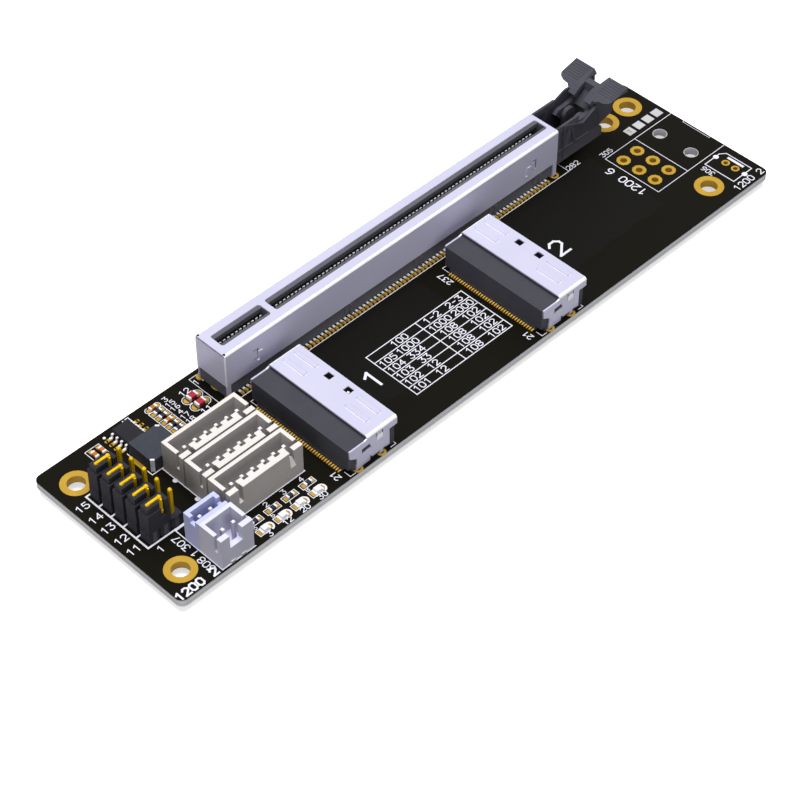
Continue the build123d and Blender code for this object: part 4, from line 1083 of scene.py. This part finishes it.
@dataclass
class ShellTrim:
    """Painted shade and highlight lines on the two connectors' shell ribs, tabs in a painted highlight
    colour, skirts, and painted shadow under the windows.
    """

    top: float = 8.3
    rib_x: tuple = (7.4, 10.2)
    rib_y: tuple = (-13.57, 2.67)
    rib_half: Place = (0.56, 2.86)
    edge_line_half: float = 0.07
    edge_line_ends: Place = (0.25, 0.3)
    edge_line_z: Place = (-0.02, 0.03)
    window_x: float = 10.25
    window_y: tuple = (-8.35, -3.25)
    window_half: Place = (0.69, 0.79)
    window_drop: Place = (-0.31, -0.27)
    window_tab: Place = (9.85, -8.7)
    window_tab_half: Place = (0.2, 0.25)
    end_tab: tuple = ((6.95, 5.5), (8.45, 6.65))
    end_y: tuple = (-19.05, -18.6)
    skirt: tuple = ((-0.1, 1.85), (0.5, 2.5))
    skirt_y: Place = (-17.4, 5.2)

    def tabs(self, shelf: FinishShelf) -> None:
        """Make the lanced tabs on the shells' near ends, and the one in the first shell's window, all in a
        painted highlight colour.
        """
        bench = Workbench("shell_tabs")
        (left, low), (right, high) = self.end_tab
        for start in CONNECTOR_STARTS:
            bench.block((start + left, self.end_y[0], low), (start + right, self.end_y[1], high), bevel=0.1)
        x, y = CONNECTOR_STARTS[0] + self.window_tab[0], self.window_tab[1]
        half_x, half_y = self.window_tab_half
        bench.block((x - half_x, y - half_y, self.top - 0.3), (x + half_x, y + half_y, self.top + 0.02),
                    bevel=0.08)
        bench.finish(shelf, "painted_highlight", "shield_metal")

    def skirts(self, shelf: FinishShelf) -> None:
        """Make the low wall that each row of tails comes out under."""
        bench = Workbench("connector_skirts")
        (left, low), (right, high) = self.skirt
        for start in CONNECTOR_STARTS:
            bench.block((start + left, self.skirt_y[0], low), (start + right, self.skirt_y[1], high))
        bench.finish(shelf, "black_moulding", "black_moulding")

    def folds(self, bench: Workbench, side: int) -> None:
        """Add thin lines along one side and one end of each rib, which the caller paints as shade on one side
        and as highlight on the other.

        Args:
            bench: The mesh that they are added to.
            side: 1 for the side away from the connector's tails, and -1 for the side near them.
        """
        half_x, half_y = self.rib_half
        end_x, end_y = self.edge_line_ends
        low, high = (self.top + part for part in self.edge_line_z)
        for x in [start + rib for start in CONNECTOR_STARTS for rib in self.rib_x]:
            for y in self.rib_y:
                edge, end = x + side * half_x, y + side * half_y
                bench.block((edge - self.edge_line_half, y - half_y + end_y, low),
                            (edge + self.edge_line_half, y + half_y - end_y, high))
                bench.block((x - half_x + end_x, end - self.edge_line_half, low),
                            (x + half_x - end_x, end + self.edge_line_half, high))

    def window_shadows(self, shelf: FinishShelf) -> None:
        """Make the painted shadow below each window: a dark patch just under the shell's top."""
        bench = Workbench("window_painted_shadow")
        half_x, half_y = self.window_half
        low, high = (self.top + part for part in self.window_drop)
        for x in [start + self.window_x for start in CONNECTOR_STARTS]:
            for y in self.window_y:
                bench.block((x - half_x, y - half_y, low), (x + half_x, y + half_y, high))
        bench.finish(shelf, "shadow_gap", "black_moulding")

    def build(self, shelf: FinishShelf) -> None:
        """Make the painted shade lines on one side of each rib and painted highlight lines on the other, and
        then the other trim.
        """
        # Painted shade lines on the ribs' sides away from the tails, and painted highlight lines on the sides
        # near them.
        for name, side, finish in (("rib_shade_lines", 1, "painted_rib_shade"), ("rib_highlight_lines", -1, "painted_highlight")):
            bench = Workbench(name)
            self.folds(bench, side)
            bench.finish(shelf, finish, "shield_metal")
        for step in (self.window_shadows, self.tabs, self.skirts):
            step(shelf)


@dataclass
class JumperTrim:
    """Round rod ends of the jumper clips, the blocks of the caps round them and the bases' near faces."""

    rows: tuple = (8.7, 5.3, 1.9, -1.5, -4.9)
    left: float = -69.35
    middle: float = -66.81
    right: float = -64.27
    cap_top: float = 10.04
    cap_half: float = 1.18
    cap_end: float = 1.16
    lid_left: float = 0.45
    lid_half: float = 0.62
    lid_z: Place = (0.3, 0.02)
    notch: tuple = (0.5, 0.4, 0.3)
    block_low: float = 6.3
    base_half: float = 1.25
    foot_half: float = 0.45
    foot_y: Place = (0.04, 0.05)
    foot_z: Place = (1.65, 4.05)
    rod: float = 0.25
    rod_past: float = 0.1
    rod_rise: float = 0.12
    drop: float = 7.25
    drop_half: Place = (0.22, 0.2)
    drop_y: float = 0.55
    balls: tuple = (0.33, 0.46, 0.32, 0.4)

    def ball(self, bench: Workbench, centre: tuple, radius: float) -> None:
        """Add a small ball."""
        place = [part * MM for part in centre]
        bpy.ops.mesh.primitive_uv_sphere_add(segments=12, ring_count=8, radius=radius * MM, location=place)

    def lids(self, shelf: FinishShelf) -> None:
        """Make the blocks on top of each cap, with the notch that the clip lies in."""
        bench = Workbench("cap_lids")
        under, over = (self.cap_top - part for part in self.lid_z)
        notch, step = self.middle - self.notch[0], self.middle + self.notch[1]
        for y in self.rows:
            far = y + self.lid_half
            bench.block((self.left - self.lid_left, y - self.lid_half, under), (notch, far, over))
            bench.block((notch, y + self.notch[2], under), (step, far, over))
            bench.block((step, y - self.cap_half, self.block_low), (self.middle + self.cap_end, far, over))
        bench.finish(shelf, "jumper_moulding", "black_moulding")

    def feet(self, shelf: FinishShelf) -> None:
        """Make the near faces of the bases."""
        bench = Workbench("jumper_feet")
        for y in [row - self.base_half for row in self.rows]:
            for x in (self.left, self.middle, self.right):
                bench.block((x - self.foot_half, y - self.foot_y[0], self.foot_z[0]),
                            (x + self.foot_half, y + self.foot_y[1], self.foot_z[1]))
        bench.finish(shelf, "latch_moulding", "black_moulding")

    def rods(self, shelf: FinishShelf) -> None:
        """Make each clip's two rods and their round ends."""
        bench = Workbench("clip_rods")
        axis, end = self.cap_top + self.rod_rise, self.left - self.rod_past
        half_x, half_y = self.drop_half
        for y in self.rows:
            front = y - self.drop_y
            bench.block((end, y - self.rod, axis - self.rod), (self.middle, y + self.rod, axis + self.rod),
                        bevel=0.12)
            bench.block((self.middle - half_x, front - half_y, self.drop),
                        (self.middle + half_x, front + half_y, axis), bevel=0.1)
            places = ((end, y, axis), (self.middle, y - 0.1, axis + 0.05), (self.middle, front, self.drop),
                      (self.right, y, self.cap_top))
            for place, radius in zip(places, self.balls):
                self.ball(bench, place, radius)
        bench.finish(shelf, "jumper_gold", "gold_plate")

    def build(self, shelf: FinishShelf) -> None:
        """Make the lids, the feet, and then the rods."""
        for step in (self.lids, self.feet, self.rods):
            step(shelf)


@dataclass
class LatchTrim:
    """Grip ridges on the latch's two pads, and the closed side walls of its frame."""

    centre: float = 14.2
    pad_start: Place = (64.0, 14.5)
    pad_end: Place = (68.65, 15.6)
    pad_inner: float = 2.65
    pad_outer: float = 6.8
    ridges: int = 7
    ridge_foot: Place = (0.17, -0.05)
    ridge_crest: Place = (0.08, 0.13)
    near_wall: Place = (10.7, 11.1)
    far_wall: Place = (17.3, 17.7)
    near_outline: tuple = ((51.4, 3.5), (64.1, 3.5), (64.5, 6.4), (64.6, 9.0), (63.4, 12.3), (61.6, 11.6),
                           (59.4, 10.4), (58.0, 10.8), (54.4, 12.7), (51.4, 12.8))
    far_outline: tuple = ((51.4, 3.5), (60.0, 3.5), (61.5, 8.2), (63.5, 9.4), (63.3, 12.2), (62.6, 13.5),
                          (61.6, 13.6), (60.9, 13.5), (57.8, 12.2), (54.0, 11.4), (51.4, 11.6))
    ribs: tuple = (((53.7, 4.6), (53.7, 12.7)), ((56.0, 10.9), (57.1, 6.6)), ((51.6, 6.7), (61.4, 6.7)),
                   ((54.2, 12.4), (58.1, 10.75)), ((58.1, 10.75), (59.4, 10.2)), ((59.4, 10.2), (61.6, 11.4)),
                   ((61.6, 11.4), (63.3, 12.1)))
    rib_half: float = 0.16
    rib_proud: float = 0.3

    def grips(self, shelf: FinishShelf) -> None:
        """Make the ridges, which move with the latch."""
        bench = Workbench("latch_grips")
        start, end = Vector(self.pad_start), Vector(self.pad_end)
        along = (end - start).normalized()
        out = Vector((-along.y, along.x))
        pitch = (end - start).length / (self.ridges + 0.6)
        (foot, low), (crest, high) = self.ridge_foot, self.ridge_crest
        corners = ((-foot, low), (foot, low), (crest, high), (-crest, high))
        for index in range(self.ridges):
            middle = start + along * pitch * (index + 0.8)
            ridge = [tuple(middle + along * run + out * rise) for run, rise in corners]
            for near, far in ((-self.pad_outer, -self.pad_inner), (self.pad_inner, self.pad_outer)):
                bench.profile(ridge, self.centre + near, self.centre + far)
        bench.finish(shelf, "latch_moulding", "latch_moulding", "latch")

    def walls(self, shelf: FinishShelf) -> None:
        """Make the side walls and their thin ribs."""
        bench = Workbench("latch_frame_walls")
        bench.profile(self.near_outline, *self.near_wall)
        bench.profile(self.far_outline, *self.far_wall)
        bench.finish(shelf, "latch_frame", "latch_moulding")
        bench = Workbench("latch_frame_ribs")
        near = self.near_wall[0]
        for start, end in [(Vector(start), Vector(end)) for start, end in self.ribs]:
            along = (end - start).normalized()
            out = Vector((-along.y, along.x)) * self.rib_half
            outline = [tuple(point) for point in (start - out, end - out, end + out, start + out)]
            bench.profile(outline, near - self.rib_proud, near + 0.1)
        bench.finish(shelf, "latch_moulding", "latch_moulding")

    def build(self, shelf: FinishShelf) -> None:
        """Make the grips and the walls."""
        self.grips(shelf)
        self.walls(shelf)


@dataclass
class HeaderTrim:
    """Small moulded marks: two feet on the open header and the wedge in the front header's corner slot, in a
    painted highlight colour.
    """

    feet: tuple = (-62.87, -60.43)
    foot_half: float = 0.55
    foot_y: Place = (-19.3, -19.05)
    foot_top: float = 2.15
    wedge: tuple = ((-43.1, 8.1), (-42.8, 4.6), (-41.65, 4.7), (-42.5, 7.4))
    wedge_y: Place = (-12.5, -12.3)

    def build(self, shelf: FinishShelf) -> None:
        """Make the feet and the wedge."""
        bench = Workbench("header_feet")
        for x in self.feet:
            bench.block((x - self.foot_half, self.foot_y[0], BOARD_TOP),
                        (x + self.foot_half, self.foot_y[1], self.foot_top), bevel=0.08)
        bench.finish(shelf, "white_moulding", "grey_moulding")
        bench = Workbench("header_wedge")
        bench.profile(self.wedge, *self.wedge_y)
        bench.finish(shelf, "painted_wedge_highlight", "white_moulding")


def background_rays(tree: bpy.types.NodeTree) -> bpy.types.NodeSocket:
    """Tell the rays that see the white background: the camera's, and those through metal and glass.

    Args:
        tree: The node tree of the floor or the world.

    Returns:
        A socket that is 1 for camera, glossy and transmission rays.
    """
    rays = tree.nodes.new("ShaderNodeLightPath")
    seen = rays.outputs["Is Camera Ray"]
    for name in ("Is Glossy Ray", "Is Transmission Ray"):
        either = tree.nodes.new("ShaderNodeMath")
        either.operation = "MAXIMUM"
        tree.links.new(seen, either.inputs[0])
        tree.links.new(rays.outputs[name], either.inputs[1])
        seen = either.outputs[0]
    return seen


@dataclass
class Studio:
    """The pale floor, the soft lights and the camera."""

    floor_colour: Colour = (250, 250, 250)
    floor_shade: Colour = (246, 246, 246)
    floor_half: float = 2.5
    camera_place: tuple = (-0.230706, -0.227782, 0.320642)
    camera_heading: float = 45.03
    camera_dip: float = 46.31
    lens: float = 108.13
    sensor: float = 36.0
    bounce_colour: Colour = (70, 70, 72)
    glow: Colour = (205, 205, 205)
    ambient: float = 0.22
    aim: tuple = (0.0, 0.0, 0.0)
    lamps: tuple = (("overhead", (0.0, 0.0, 1.6), 1.0, 25.5), ("near_side", (-0.2, -1.2, 0.3), 0.8, 3.0),
                    ("left_side", (-1.2, -0.2, 0.3), 0.8, 3.1))

    def floor(self) -> None:
        """Lay the floor under the lowest solder tail."""
        bpy.ops.object.select_all(action="DESELECT")
        bpy.ops.mesh.primitive_plane_add(size=self.floor_half * 2, location=(0, 0, CAD_BOX[0][2]))
        floor = bpy.context.object
        floor.name = "floor"
        shader = Shader("floor_paint")
        seen = Signal(shader, background_rays(shader.tree))
        cloud = shader.noise(400.0, 1.0) * 0.2
        paint = shader.blend(cloud, linear(self.floor_colour), linear(self.floor_shade))
        glow = shader.blend(seen, linear((0, 0, 0)), linear(self.glow))
        shader.set(Base_Color=shader.blend(seen, linear(self.bounce_colour), paint), Roughness=0.9)
        shader.set(Emission_Color=glow, Emission_Strength=1.0)
        floor.data.materials.append(shader.material)

    def world(self) -> None:
        """Set an even pale surround that the camera sees as white."""
        world = bpy.data.worlds.new("surround")
        bpy.context.scene.world = world
        world.use_nodes = True
        tree = world.node_tree
        back = tree.nodes["Background"]
        strength = tree.nodes.new("ShaderNodeMath")
        strength.operation = "MAXIMUM"
        strength.inputs[1].default_value = self.ambient
        tree.links.new(background_rays(tree), strength.inputs[0])
        tree.links.new(strength.outputs[0], back.inputs["Strength"])
        back.inputs["Color"].default_value = (1.0, 1.0, 1.0, 1.0)

    def lamp(self, name: str, place: tuple, size: float, power: float) -> None:
        """Hang one white square soft light that faces the board.

        Args:
            name: The light's name.
            place: Where it hangs, in metres.
            size: The length of its side.
            power: Its power in watts.
        """
        light = bpy.data.lights.new(name, "AREA")
        light.shape = "SQUARE"
        light.size = size
        light.energy = power
        lamp = bpy.data.objects.new(name, light)
        lamp.location = place
        lamp.rotation_euler = (Vector(self.aim) - Vector(place)).to_track_quat("-Z", "Y").to_euler()
        bpy.context.scene.collection.objects.link(lamp)

    def lights(self) -> None:
        """Hang the overhead key and the two weaker side lights."""
        for name, place, size, power in self.lamps:
            self.lamp(name, place, size, power)

    def camera(self) -> None:
        """Set the camera at the photograph's viewpoint."""
        data = bpy.data.cameras.new("camera")
        data.lens = self.lens
        data.sensor_width = self.sensor
        data.clip_start = 0.01
        data.clip_end = 20.0
        camera = bpy.data.objects.new("camera", data)
        bpy.context.scene.collection.objects.link(camera)
        heading, dip = math.radians(self.camera_heading), math.radians(self.camera_dip)
        level = math.cos(dip)
        forward = Vector((math.cos(heading) * level, math.sin(heading) * level, -math.sin(dip)))
        camera.location = self.camera_place
        camera.rotation_euler = forward.to_track_quat("-Z", "Y").to_euler()
        bpy.context.scene.camera = camera

    def build(self) -> None:
        """Set up the whole studio."""
        self.floor()
        self.world()
        self.lights()
        self.camera()
        bpy.context.scene.view_settings.view_transform = "Standard"
        LOG.info("studio ready")


def main() -> None:
    """Build the studio, dress the solids and add every piece."""
    logging.basicConfig(level=logging.INFO, format="%(message)s")
    Studio().build()
    shelf = FinishShelf()
    SolidDressing().build(shelf)
    for maker in (BoardPrint, GoldLands, BareLands, SlotTrim, ShellTrim, JumperTrim, LatchTrim, HeaderTrim):
        maker().build(shelf)


if __name__ == "__main__":
    main()
